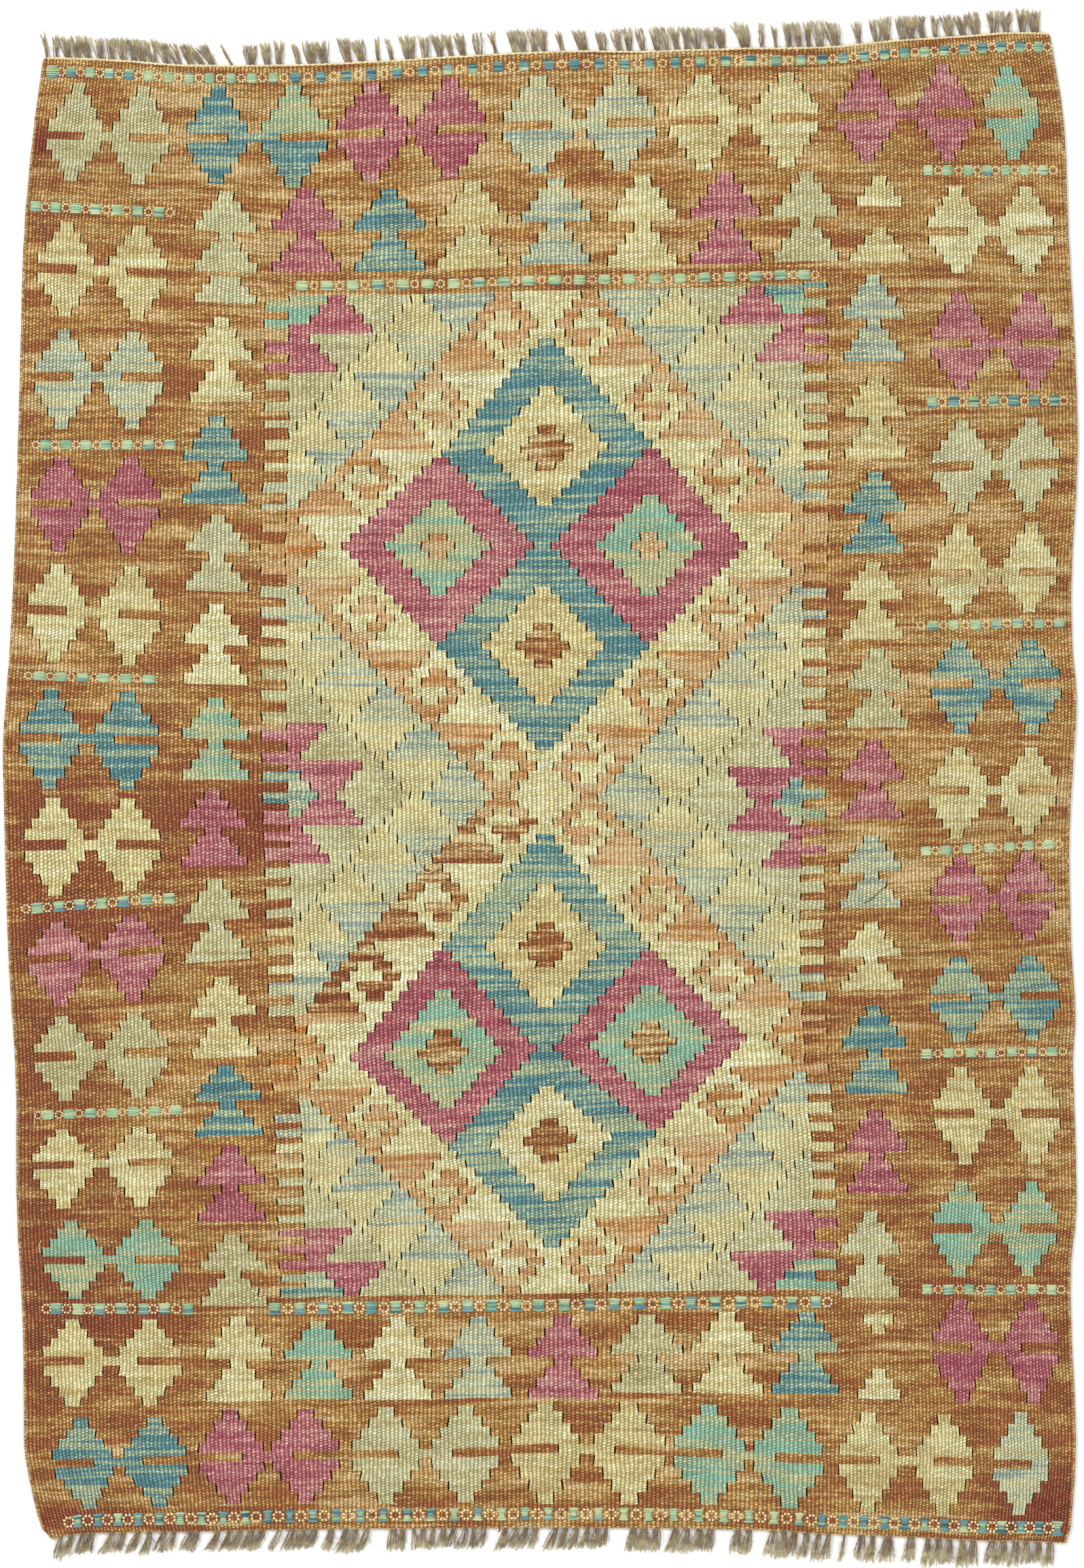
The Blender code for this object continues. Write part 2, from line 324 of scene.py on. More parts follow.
# Teeth that run past the edge of the field, by the levels of their two sides.
LEFT_TEETH = (
    (401, 393), (386, 379), (368, 358), (351, 344), (337, 328), (319, 312), (304, 298), (288, 280),
    (269, 261), (252, 243), (233, 228), (216, 209), (198, 192), (180, 173), (163, 154), (146, 137),
    (131, 121), (114, 104), (96, 88), (78, 70), (61, 52), (46, 37), (28, 18), (12, 4), (-5, -13),
    (-20, -31), (-37, -44), (-50, -60), (-66, -73), (-81, -90), (-99, -106), (-115, -121), (-130, -136),
    (-144, -150), (-156, -165), (-173, -181), (-193, -198), (-211, -218), (-230, -237), (-256, -262),
    (-268, -274), (-279, -286), (-295, -299), (-308, -315), (-326, -332), (-342, -348), (-355, -361),
    (-369, -375), (-383, -390), (-395, -401), (-407, -415),
)
RIGHT_TEETH = (
    (408, 403), (395, 387), (380, 374), (366, 358), (350, 343), (333, 327), (318, 309), (300, 293),
    (287, 278), (271, 263), (255, 247), (239, 232), (222, 215), (206, 199), (189, 183), (174, 168),
    (162, 154), (144, 137), (130, 121), (114, 105), (99, 92), (83, 75), (66, 57), (51, 44), (36, 28),
    (22, 15), (5, -3), (-11, -20), (-28, -34), (-44, -51), (-61, -68), (-75, -84), (-91, -99), (-108, -116),
    (-125, -131), (-139, -148), (-156, -164), (-173, -182), (-195, -201), (-208, -213), (-223, -228),
    (-238, -247), (-255, -264), (-271, -280), (-288, -295), (-303, -310), (-318, -324), (-331, -339),
    (-346, -354), (-360, -368), (-378, -384), (-391, -400), (-408, -415),
)
# Small blocks woven where the pattern slipped. Dye, first rib, last rib, top level, bottom level.
SLIPS = (
    ("cream", -58, -54, -211, -218), ("cream", 53, 57, -213, -220), ("cream", 47, 53, -190, -196),
)


SKEIN_ROOM = 4096


class Chart:
    """The cloth rib by rib and pick by pick: the dye, and which skein of it, each dyed in its own uneven way.

    Skein 0 is the ground's, and the motifs' skeins are numbered from 2.
    """

    def __init__(self):
        self.dye = np.zeros((RIB_COUNT, PICK_COUNT), np.int16)
        self.skein = np.zeros((RIB_COUNT, PICK_COUNT), np.int16)
        self.skeins = 1

    def new_skein(self):
        self.skeins += 1
        return self.skeins

    def block(self, dye, rib_a, rib_b, top, bottom, skein):
        """Weaves a block of one dye between two ribs and two levels."""
        first, last = sorted(round((level - NEAR_LEVEL) / PICK) for level in (bottom, top))
        left, right = sorted(int(rib) - LEFT_RIB for rib in (rib_a, rib_b))
        place = (slice(max(0, left), max(0, right)), slice(max(0, first), last))
        self.dye[place] = DYES.index(dye)
        self.skein[place] = skein

    def steps(self, dye, middle, top, bottom, halves, skein):
        """Weaves centred blocks of equal height, one for each half width."""
        for k, half in enumerate(halves):
            high = top + (bottom - top) * k / len(halves)
            low = top + (bottom - top) * (k + 1) / len(halves)
            self.block(dye, middle - half, middle + half, high, low, skein)

    def keys(self):
        """One number for each dye and skein together."""
        return self.dye.astype(np.int64) * SKEIN_ROOM + self.skein


def weave_diamond(chart, dye, rib, top, bar, bottom, bar_from, skein):
    """A stepped diamond, with a bar of ground run into it from one side at its middle."""
    high, low = bar + BAR_HEIGHT / 2, bar - BAR_HEIGHT / 2
    widest = DIAMOND_ROWS[-1]
    chart.steps(dye, rib, top, high, DIAMOND_ROWS, skein)
    chart.steps(dye, rib, low, bottom, DIAMOND_ROWS[::-1], skein)
    chart.block(dye, rib - widest, rib + widest, high, low, skein)
    chart.block("ground", rib + bar_from * widest, rib + bar_from * (widest - BAR_RIBS), high, low, 0)


def weave_pair(chart, dye, left, right, top, bar, bottom):
    skein = chart.new_skein()
    weave_diamond(chart, dye, left, top, bar, bottom, -1, skein)
    weave_diamond(chart, dye, right, top, bar, bottom, 1, skein)
    inner = BAR_RIBS - DIAMOND_ROWS[-1]
    chart.block(dye, left + inner, right - inner, bar + BAR_HEIGHT / 2, bar - BAR_HEIGHT / 2, skein)


class Field:
    """Weaves the field row by row. Steps are two ribs wide and are counted outwards from the middle."""

    def __init__(self, chart):
        self.chart = chart
        self.skeins = {}

    def skein(self, *key):
        if key not in self.skeins:
            self.skeins[key] = self.chart.new_skein()
        return self.skeins[key]

    def row_levels(self, row):
        rows, levels = zip(*FIELD_ROWS)
        return np.interp(row, rows, levels), np.interp(row + 1, rows, levels)

    def both(self, dye, row, a, b, key, sides=(-1, 1)):
        """The same interval of steps on both sides of the middle."""
        top, bottom = self.row_levels(row)
        for side in sides:
            self.chart.block(dye, side * a * STEP, side * b * STEP, top, bottom, self.skein(*key, side))

    def around(self, dye, row, centre, half, key):
        """An interval centred on a step at both sides, or once where that step is the middle."""
        if half <= 0:
            return
        if centre:
            self.both(dye, row, centre - half, centre + half, key)
        else:
            top, bottom = self.row_levels(row)
            self.chart.block(dye, -half * STEP, half * STEP, top, bottom, self.skein(*key))


def rows_from_tip(row):
    """Rows from the nearer end of a medallion: 0 at its tip and 27 at its middle."""
    within = row if row <= MEDALLION_ROWS else row - MEDALLION_ROWS
    return min(within, MEDALLION_ROWS - within)


def weave_outer_ground(field, row, from_tip, part):
    """Outside the band: cream, a chain of pale triangles, and sage towards the corners."""
    field.both("cream", row, 0, EDGE, ("field",))
    if from_tip <= 16:
        field.both("straw", row, 6 + from_tip, EDGE, ("straw",))
    if from_tip <= 13:
        field.both("sage", row, 15.5 + from_tip, EDGE, ("corner", part // 2, from_tip // 7))
    link, k = divmod(from_tip, 4)
    if link <= 3:
        field.both("ice", row, 6 + 4 * link + k, 14 + 4 * link - k, ("ice", part, link))
    elif from_tip <= 18:
        field.both("ice", row, 22 + (from_tip - 16), 27.5 - (from_tip - 16), ("ice", part, link))
    elif from_tip <= 22:
        field.both("ice", row, 25 + (from_tip - 19), EDGE, ("ice", part, 6))


def weave_band(field, row, from_tip, part):
    """The stepped band, which is darker along one side of the second medallion."""
    unit, k = divmod(from_tip, len(BAND_REPEAT))
    corner = 4 + 8 * unit
    if unit > 2:
        return
    for a, b in BAND_REPEAT[k]:
        for side in (-1, 1):
            darker = side < 0 and row in DARKER_ROWS
            dye, key = "rust" if darker else "salmon", ("band", part, unit, darker)
            field.both(dye, row, corner + a, corner + b, key, (side,))
    if from_tip == 23:
        field.both("salmon", row, 21, EDGE, ("band", part, unit, False))


def weave_medallion(field, row, from_tip, part):
    """Two blue diamonds with cream hearts, between two magenta ones with turquoise hearts."""
    second = part >= 2
    half = from_tip - 4 if from_tip <= 16 else 28 - from_tip
    if from_tip >= 5:
        field.around("blue", row, 0, half, ("blue", part))
    if from_tip >= 10:
        field.around("cream", row, 0, from_tip - 9 if from_tip <= 16 else 23 - from_tip, ("heart", part))
    if 14 <= from_tip <= 18:
        field.around("rust", row, 0, SMALL_DIAMOND[from_tip - 14], ("seed", part))
    if from_tip < 17:
        return
    field.around("magenta", row, 12, from_tip - 16, ("magenta", second))
    inner = from_tip - 20 if second else from_tip - 21
    field.around("turquoise", row, 12, inner, ("turquoise", second))
    if second and from_tip >= 25:
        field.around("rust", row, 12, SMALL_DIAMOND[from_tip - 25], ("pip", second))
    if not second and from_tip >= 26:
        field.around("salmon", row, 12, SMALL_CROSS[from_tip - 26], ("pip", second))


def weave_corner(field, row, from_tip, part):
    """The magenta figure in each corner, and at both sides where the medallions meet."""
    shift = 1 if part in (1, 2) else 0
    if from_tip <= 3:
        outer = 25 + from_tip + shift
        end = EDGE if from_tip == 3 else outer
        field.both("magenta", row, 23 - from_tip + shift, end, ("corner piece", part))
        for side, fills in CORNER_FILLS:
            if row in fills:
                field.both(fills[row], row, outer, EDGE, ("fill", part, fills[row]), (side,))
    elif from_tip <= 7:
        field.both("magenta", row, 31 - from_tip + shift, EDGE, ("corner piece", part))


def weave_arrow(field, row, from_tip, part):
    """Beside the middle of each medallion the band runs out into an arrow of its own colour."""
    if from_tip >= 24:
        inner = 28 - (from_tip - 24)
        field.both("arrow", row, inner, EDGE, ("arrow", part // 2))


def weave_teeth(field):
    """Runs the colours at the edge of the field out as teeth, with the ground between them."""
    chart = field.chart
    for side, teeth in ((-1, LEFT_TEETH), (1, RIGHT_TEETH)):
        index = min(side * EDGE_RIB, side * (EDGE_RIB - 1)) - LEFT_RIB
        for top, bottom in teeth:
            pick = round(((top + bottom) / 2 - NEAR_LEVEL) / PICK)
            dye, skein = DYES[chart.dye[index, pick]], chart.skein[index, pick]
            chart.block(dye, side * EDGE_RIB, side * TOOTH_RIB, top, bottom, skein)


def weave_field(chart):
    field = Field(chart)
    for row in range(ROWS_IN_FIELD):
        from_tip = rows_from_tip(row)
        part = min(3, row // PART_ROWS)
        weave_outer_ground(field, row, from_tip, part)
        weave_band(field, row, from_tip, part)
        weave_medallion(field, row, from_tip, part)
        weave_corner(field, row, from_tip, part)
        weave_arrow(field, row, from_tip, part)
    weave_teeth(field)
    for slip in SLIPS:
        chart.block(*slip, chart.new_skein())


def chart_place(rib, level, ribs_on=0.0, picks_on=0.0):
    """Where places on the loom are in the chart, moved on by some ribs and picks."""
    i = np.floor(rib - LEFT_RIB + ribs_on).astype(int)
    j = np.floor((level - NEAR_LEVEL) / PICK + picks_on).astype(int)
    return np.clip(i, 0, RIB_COUNT - 1), np.clip(j, 0, PICK_COUNT - 1)


def ground_spans(dye):
    """For each rib and pick of the ground, how many ribs wide it is there before another colour."""
    spans = np.zeros(dye.shape, np.float32)
    ground = dye == DYES.index("ground")
    edge = np.zeros((1, dye.shape[1]), bool)
    steps = np.diff(np.concatenate((edge, ground, edge)).astype(np.int8), axis=0)
    for pick in range(dye.shape[1]):
        for a, b in zip(np.flatnonzero(steps[:, pick] == 1), np.flatnonzero(steps[:, pick] == -1)):
            spans[a:b, pick] = b - a
    return spans


# How far aside to look from a place for what is woven next to it, in ribs and in picks.
NEXT_RIB, NEXT_PICK = 0.6, 1.2


def span_at(spans, rib, level):
    """The mean width of the ground around places on the loom, not counting other colours."""
    total, seen = np.zeros(len(rib)), np.zeros(len(rib))
    for side, end in CORNER_SIGNS:
        there = spans[chart_place(rib, level, NEXT_RIB * side, NEXT_PICK * end)]
        total += there
        seen += there > 0
    return total / np.maximum(seen, 1)


def woven_chart():
    chart = Chart()
    weave_field(chart)
    for row in PAIRED_DIAMONDS:
        weave_pair(chart, *row)
    for dye, rib, top, bar, bottom, side in SINGLE_DIAMONDS:
        weave_diamond(chart, dye, rib, top, bar, bottom, side, chart.new_skein())
    for dye, rib, top, bar in CHANGED_HALVES:
        chart.steps(dye, rib, top, bar + BAR_HEIGHT / 2, DIAMOND_ROWS, chart.new_skein())
    for dye, rib, top, bottom in TREES:
        chart.steps(dye, rib, top, bottom, TREE_ROWS, chart.new_skein())
    for dye, rib, top, bottom, halves in HALF_FIGURES:
        chart.steps(dye, rib, top, bottom, halves, chart.new_skein())
    return chart


# --------------------------------------------------------------------------------------------------
# The cloth's mesh
# --------------------------------------------------------------------------------------------------

# Slits: the longest opening and the closed stay at its ends in millimetres, and the share of its length over
# which each end tapers.
SLIT_SEED = 5
SLIT_LONGEST = 11.0
SLIT_STAY = 0.45
SLIT_TAPER = 0.16
# The narrowest slit against the widest, and how far its lips close towards each other on the underside.
SLIT_NARROWEST = 0.65
LIPS_CLOSE = 0.96
# Ribs from a slit within which triangles may lie in it.
NEAR_SLIT = 0.3
# The net of points: ribs and millimetres between them, and how many ribs its columns are moved on.
GRID_RIBS = 5
GRID_LEVEL = 15.0
GRID_START = 0.37
# Ribs between the points of a colour change along a pick, steps up the selvedges, and ribs for each step
# along the ends.
BEND_RIBS = 4
RIM_STEPS = 240
RIM_RIBS = 2
# Millimetres within which points are one, and twice the area under which a triangle is left out.
SAME_POINT = 1e-4
SLIVER = 1e-7
# Ground narrower than this many ribs is dyed in blobs, fully so where it is this many ribs narrower still.
NARROW_UP_TO = 34.0
NARROW_FADE = 20.0
# How much paler or darker each skein came out, drawn with a seed that suits this rug's motifs.
LOT_SEED = 22688
LOT_RANGE = 0.14


def runs(one_side, other_side):
    """Start and end of each run along which two rows differ in an unchanging way."""
    where = np.flatnonzero(one_side != other_side)
    keys = one_side * SKEIN_ROOM * len(DYES) + other_side
    if not len(where):
        return
    starts = [where[0]]
    for a, b in zip(where, where[1:]):
        if b != a + 1 or keys[a] != keys[b]:
            yield starts[-1], a + 1
            starts.append(b)
    yield starts[-1], where[-1] + 1


class Net:
    """Points and lines on the loom for the triangulation, with ribs scaled to millimetres."""

    def __init__(self):
        self.index = {}
        self.points = []
        self.lines = []
        self.lips = {}

    def point(self, rib, level):
        key = (round(rib * USUAL_RIB, 4), round(level, 4))
        if key not in self.index:
            self.index[key] = len(self.points)
            self.points.append(Vector(key))
        return self.index[key]

    def line(self, *places):
        ids = [self.point(*p) for p in places]
        self.lines += [(a, b) for a, b in zip(ids, ids[1:]) if a != b]


def level_of(pick):
    return NEAR_LEVEL + pick * PICK


def add_slits(net, chart, width):
    """A change of dye along a rib leaves a slit. Returns each one's rib, ends and half width in ribs."""
    draw = random.Random(SLIT_SEED)
    key = chart.keys()
    slits = []
    for i in range(1, RIB_COUNT):
        left, right = key[i - 1], key[i]
        changed = left != right
        open_here = chart.dye[i - 1] != chart.dye[i]
        for a, b in runs(left, right):
            rib = i + LEFT_RIB
            low, high = level_of(a), level_of(b)
            if not open_here[a]:
                net.line((rib, low), (rib, high))
                continue
            stay_low = SLIT_STAY if a > 0 and changed[a - 1] else 0
            stay_high = SLIT_STAY if b < PICK_COUNT and changed[b] else 0
            count = max(1, math.ceil((high - low) / SLIT_LONGEST))
            for n in range(count):
                start = low + (high - low) * n / count
                end = low + (high - low) * (n + 1) / count
                first = start + (SLIT_STAY if n else stay_low)
                last = end - (SLIT_STAY if n < count - 1 else stay_high)
                reach = (last - first) * SLIT_TAPER
                half = width * draw.uniform(SLIT_NARROWEST, 1.0) / 2 / USUAL_RIB
                net.line((rib, start), (rib, first))
                net.line((rib, last), (rib, end))
                for lip in (rib - half, rib + half):
                    net.line((rib, first), (lip, first + reach), (lip, last - reach), (rib, last))
                    for level in (first + reach, last - reach):
                        net.lips[net.point(lip, level)] = rib
                slits.append((rib, first, last, half))
    return slits


def add_pick_lines(net, chart):
    """Changes of dye or skein along a pick, where both sides meet closed."""
    key = chart.keys()
    for j in range(1, PICK_COUNT):
        for a, b in runs(key[:, j - 1], key[:, j]):
            net.line(*((rib + LEFT_RIB, level_of(j)) for rib in [*range(a, b, BEND_RIBS), b]))


def add_grid(net):
    """An even net of points, so that plain ground can bend too, and the outline."""
    levels = np.linspace(NEAR_LEVEL, FAR_LEVEL, round((FAR_LEVEL - NEAR_LEVEL) / GRID_LEVEL) + 1)
    ribs = np.linspace(LEFT_RIB, RIGHT_RIB, round(RIB_COUNT / GRID_RIBS) + 1)
    for n, level in enumerate(levels[1:-1]):
        shift = 0.5 * GRID_RIBS if n % 2 else 0.0
        for rib in ribs[1:-1]:
            net.point(rib + shift + GRID_START, level)
    fine_levels = np.linspace(NEAR_LEVEL, FAR_LEVEL, RIM_STEPS + 1)
    fine_ribs = np.linspace(LEFT_RIB, RIGHT_RIB, RIB_COUNT // RIM_RIBS + 1)
    for rib in (LEFT_RIB, RIGHT_RIB):
        net.line(*((rib, level) for level in fine_levels))
    for level in (NEAR_LEVEL, FAR_LEVEL):
        net.line(*((rib, level) for rib in fine_ribs))


def slit_triangles(middles, slits):
    """True for triangles that lie inside a slit."""
    inside = np.zeros(len(middles), bool)
    by_rib = {}
    for rib, first, last, half in slits:
        by_rib.setdefault(rib, []).append((first, last, half))
    nearest = np.rint(middles[:, 0]).astype(int)
    for rib, found in by_rib.items():
        close = np.flatnonzero((nearest == rib) & (np.abs(middles[:, 0] - rib) < NEAR_SLIT))
        order = sorted(found)
        starts = np.array([f[0] for f in order])
        for t in close:
            k = np.searchsorted(starts, middles[t, 1]) - 1
            if k < 0:
                continue
            first, last, half = order[k]
            room = min(middles[t, 1] - first, last - middles[t, 1]) / ((last - first) * SLIT_TAPER)
            inside[t] = room > 0 and abs(middles[t, 0] - rib) < half * min(1, room)
    return inside


def weave_mesh(slit_width):
    """The whole cloth as one closed sheet: upper face, underside, and the walls of the rim and the slits."""
    chart = woven_chart()
    net = Net()
    slits = add_slits(net, chart, slit_width / MM)
    add_pick_lines(net, chart)
    add_grid(net)
    points, _, faces, sources, *_ = delaunay_2d_cdt(net.points, net.lines, [], 0, SAME_POINT, True)
    flat = np.array([(p[0] / USUAL_RIB, p[1]) for p in points])
    under = flat.copy()
    for k, source in enumerate(sources):
        for index in source:
            if index in net.lips:
                under[k, 0] += (net.lips[index] - under[k, 0]) * LIPS_CLOSE
    tri = np.array(faces)
    corners = flat[tri]
    turn = np.cross(corners[:, 1] - corners[:, 0], corners[:, 2] - corners[:, 0])
    tri[turn < 0] = tri[turn < 0][:, ::-1]
    middles = flat[tri].mean(1)
    keep = (np.abs(turn) > SLIVER) & ~slit_triangles(middles, slits)
    place = chart_place(*middles[keep].T)
    span = span_at(ground_spans(chart.dye), flat[:, 0], flat[:, 1])
    return flat, under, tri[keep], chart.dye[place], chart.skein[place], span


def rim_edges(tri):
    """Directed edges that only one triangle has, and that triangle."""
    edges = np.concatenate((tri[:, (0, 1)], tri[:, (1, 2)], tri[:, (2, 0)]))
    owner = np.tile(np.arange(len(tri)), 3)
    size = int(tri.max()) + 1
    key = edges.min(1).astype(np.int64) * size + edges.max(1)
    _, inverse, counts = np.unique(key, return_inverse=True, return_counts=True)
    single = counts[inverse] == 1
    return edges[single], owner[single]


def new_piece(name, vertices, faces):
    """A piece from vertices in metres, with its object at the origin."""
    mesh = bpy.data.meshes.new(name)
    mesh.from_pydata(vertices, [], faces)
    piece = bpy.data.objects.new(name, mesh)
    bpy.context.scene.collection.objects.link(piece)
    return piece


def store(piece, name, domain, values):
    """Keeps a number for each point or face, which the materials read."""
    attribute = piece.data.attributes.new(name, "FLOAT", domain)
    attribute.data.foreach_set("value", np.asarray(values, np.float32))


def store_loom(piece, places):
    """The weave's UV map: for each vertex, ribs from the left edge and beats from the near end."""
    mesh = piece.data
    corners = np.empty(len(mesh.loops), np.int32)
    mesh.loops.foreach_get("vertex_index", corners)
    values = np.asarray(places, np.float32)[corners]
    mesh.uv_layers.new(name="weave").data.foreach_set("uv", values.ravel())


def closed_sheet(name, flat, under, tri, dye, skein, span, thickness):
    """The cloth from its triangles on the loom. A slit's lips lie closer together on the underside."""
    count = len(flat)
    x, y = loom_to_floor(flat[:, 0], flat[:, 1])
    low = lift(x, y)
    upper = np.column_stack((x, y, low + thickness / MM)) * MM
    lower = np.column_stack((*loom_to_floor(under[:, 0], under[:, 1]), low)) * MM
    edges, owner = rim_edges(tri)
    walls = np.column_stack((edges[:, 0], edges[:, 0] + count, edges[:, 1] + count, edges[:, 1]))
    faces = tri.tolist() + (tri[:, ::-1] + count).tolist() + walls.tolist()
    piece = new_piece(name, np.concatenate((upper, lower)).tolist(), faces)
    # Every wall, of the slits and of the rim, takes the dark slit wool after the dyes: painted shade deep in
    # the slits.
    face_dye = np.concatenate((dye, dye, np.full(len(owner), len(DYES)))).astype(np.int32)
    piece.data.polygons.foreach_set("material_index", face_dye)
    draw = random.Random(LOT_SEED)
    lots = np.array([draw.uniform(-LOT_RANGE, LOT_RANGE) for _ in range(int(skein.max()) + 1)], np.float32)
    face_skein = np.concatenate((skein, skein, skein[owner])).astype(int)
    store(piece, "skein", "FACE", face_skein)
    store(piece, "lot", "FACE", lots[face_skein])
    store(piece, "tone", "POINT", np.tile(ground_tone(x, y), 2))
    store(piece, "narrow", "POINT", np.tile(np.clip((NARROW_UP_TO - span) / NARROW_FADE, 0, 1), 2))
    loom = np.column_stack((flat[:, 0] - LEFT_RIB, (flat[:, 1] - NEAR_LEVEL) / BEAT))
    store_loom(piece, np.tile(loom, (2, 1)))
    piece.data.update()
    return piece


# Broad patches where the ground is redder (above zero) or lighter. x, y, half width, half height, amount.
GROUND_PATCHES = (
    (-330, -30, 110, 60, 0.32), (-405, -150, 45, 190, 0.32), (-330, -120, 70, 30, 0.36),
    (-405, -420, 50, 130, 0.4), (-330, -440, 60, 30, 0.4), (-410, 525, 24, 16, 0.9),
    (-400, 470, 40, 20, 0.3), (0, 545, 220, 60, -0.25), (-50, 460, 200, 45, -0.2),
    (420, -590, 60, 30, 0.75), (320, 240, 110, 220, -0.18), (-222, 150, 22, 70, 0.12),
    (-222, -90, 22, 70, 0.25), (300, -290, 130, 90, 0.14), (410, -430, 50, 110, 0.2),
    (300, 575, 70, 25, -0.2), (-150, -160, 45, 50, 0.3), (-60, -40, 50, 40, -0.3),
    (-260, -30, 30, 40, 0.35), (-215, -20, 22, 26, 0.5), (-380, -600, 150, 9, 0.6),
    (300, -410, 60, 30, 0.25), (240, 60, 30, 60, -0.12),
)


def ground_tone(x, y):
    total = np.zeros_like(x)
    for cx, cy, half_x, half_y, amount in GROUND_PATCHES:
        total += amount * np.exp(-((x - cx) / half_x) ** 2 - ((y - cy) / half_y) ** 2)
    return total


# --------------------------------------------------------------------------------------------------
# Materials
# --------------------------------------------------------------------------------------------------


def linear(red, green, blue):
    """A display colour from 0 to 255 as the linear colour that shaders take."""
    def one(value):
        value /= 255
        return value / 12.92 if value <= 0.04045 else ((value + 0.055) / 1.055) ** 2.4
    return one(red), one(green), one(blue)


class Nodes:
    """Short calls for adding and linking shader nodes. A value is a number, a colour or a node's output."""

    def __init__(self, name):
        self.material = bpy.data.materials.new(name)
        self.material.use_nodes = True
        self.tree = self.material.node_tree
        self.shader = self.tree.nodes["Principled BSDF"]

    def add(self, kind, **settings):
        node = self.tree.nodes.new("ShaderNode" + kind)
        for key, value in settings.items():
            setattr(node, key, value)
        return node

    def put(self, socket, value):
        if isinstance(value, (int, float)):
            socket.default_value = value
        elif isinstance(value, tuple):
            socket.default_value = (*value, 1.0)
        else:
            self.tree.links.new(value, socket)

    def math(self, operation, *values, clamp=False):
        node = self.add("Math", operation=operation, use_clamp=clamp)
        for socket, value in zip(node.inputs, values):
            self.put(socket, value)
        return node.outputs[0]

    def plus(self, a, b, clamp=False):
        return self.math("ADD", a, b, clamp=clamp)

    def minus(self, a, b):
        return self.math("SUBTRACT", a, b)

    def times(self, a, b, clamp=False):
        return self.math("MULTIPLY", a, b, clamp=clamp)

    def times_plus(self, a, b, c, clamp=False):
        return self.math("MULTIPLY_ADD", a, b, c, clamp=clamp)

    def combine(self, x, y, z=0.0):
        node = self.add("CombineXYZ")
        for socket, value in zip(node.inputs, (x, y, z)):
            self.put(socket, value)
        return node.outputs[0]

    def parts(self, vector):
        """A vector's x, y and z."""
        node = self.add("SeparateXYZ")
        self.put(node.inputs[0], vector)
        return tuple(node.outputs)

    def attribute(self, name):
        return self.add("Attribute", attribute_name=name).outputs["Fac"]

    def noise(self, vector, scale, detail=2.0, roughness=0.5):
        node = self.add("TexNoise")
        settings = {"Vector": vector, "Scale": scale, "Detail": detail, "Roughness": roughness}
        for name, value in settings.items():
            self.put(node.inputs[name], value)
        return node.outputs["Fac"]

    def fibres(self, place, scale):
        """Fine fibres: noise drawn out by a scale along x, y and z."""
        drawn_out = self.combine(*(self.times(part, k) for part, k in zip(self.parts(place), scale)))
        return self.noise(drawn_out, 1.0, 2.0, 0.6)

    def ramp(self, factor, *colours):
        """A ramp through colours at even steps."""
        node = self.add("ValToRGB")
        elements = node.color_ramp.elements
        elements[0].color, elements[-1].color = (*colours[0], 1.0), (*colours[-1], 1.0)
        for n, colour in enumerate(colours[1:-1], 1):
            elements.new(n / (len(colours) - 1)).color = (*colour, 1.0)
        self.put(node.inputs["Fac"], factor)
        return node.outputs["Color"]

    def mix(self, factor, a, b, blend="MIX"):
        node = self.add("Mix", data_type="RGBA", blend_type=blend)
        for index, value in ((0, factor), (6, a), (7, b)):
            self.put(node.inputs[index], value)
        return node.outputs[2]

    def shaded(self, colour, light):
        """A colour times a grey."""
        return self.mix(1.0, colour, self.combine(light, light, light), "MULTIPLY")

    def finish(self, colour, height, bump_distance, roughness, sheen, shine=0.2):
        bump = self.add("Bump")
        for name, value in (("Strength", 1.0), ("Distance", bump_distance), ("Height", height)):
            self.put(bump.inputs[name], value)
        finishes = {
            "Base Color": colour, "Normal": bump.outputs["Normal"], "Roughness": roughness,
            "Specular IOR Level": shine, "Sheen Weight": sheen, "Sheen Roughness": SHEEN_ROUGHNESS,
        }
        for name, value in finishes.items():
            self.put(self.shader.inputs[name], value)
        return self.material


# Finishes: roughness of the weave, of yarn and of fringe, and how much soft sheen the weave and yarns have.
WEAVE_ROUGH, YARN_ROUGH, FRINGE_ROUGH = 0.9, 0.88, 0.9
WEAVE_SHEEN, YARN_SHEEN = 0.1, 0.2
SHEEN_ROUGHNESS = 0.6
# How fast a bead's height falls off across its rib, and up the cloth, where it differs from place to place.
BEAD_ACROSS = 1.8
BEAD_UP = (1.0, 2.2)
BEAD_UP_SCALE = 0.11
BEAD_SLANT = 0.1
BEAD_BUMP = 0.001
# How far the beads stray, in ribs and in beats, and the scale of the noise that moves them.
STRAY_RIBS, STRAY_BEATS = 0.5, 1.5
STRAY_SCALE = 0.45
# Each bead is a little darker or lighter, and taken from a darker or lighter part of its dye.
BEAD_DEPTH = 0.2
BEAD_LEVEL = 0.2
# Painted shade between the beads: the colour is multiplied by this where the weave is lowest.
GAP_SHADE = (0.30, 0.235, 0.155)
# Painted highlights on the crowns of the beads, standing in for the sheen of the wool: the height they start
# at, how fast they come, and how they go with the bead.
HIGHLIGHT_FROM, HIGHLIGHT_GAIN = 0.78, 4.5
HIGHLIGHT_LEAST = 0.35
HIGHLIGHT_BY_LEVEL = (0.9, 0.35)
HIGHLIGHT_MOST = 0.8
# The colour of the painted highlight, and its warmer colour on the madder dyes.
HIGHLIGHT_COLOUR = (0.95, 0.90, 0.60)
MADDER_HIGHLIGHT_COLOUR = (0.93, 0.70, 0.32)
MADDER_DYES = ("ground", "salmon", "rust", "arrow")
# The dyes that follow the broad patches, and the colour of their darkest streaks there.
PATCHY_DYES = ("ground", "rust")
WINE = linear(124, 44, 30)
WINE_GAIN = 1.2
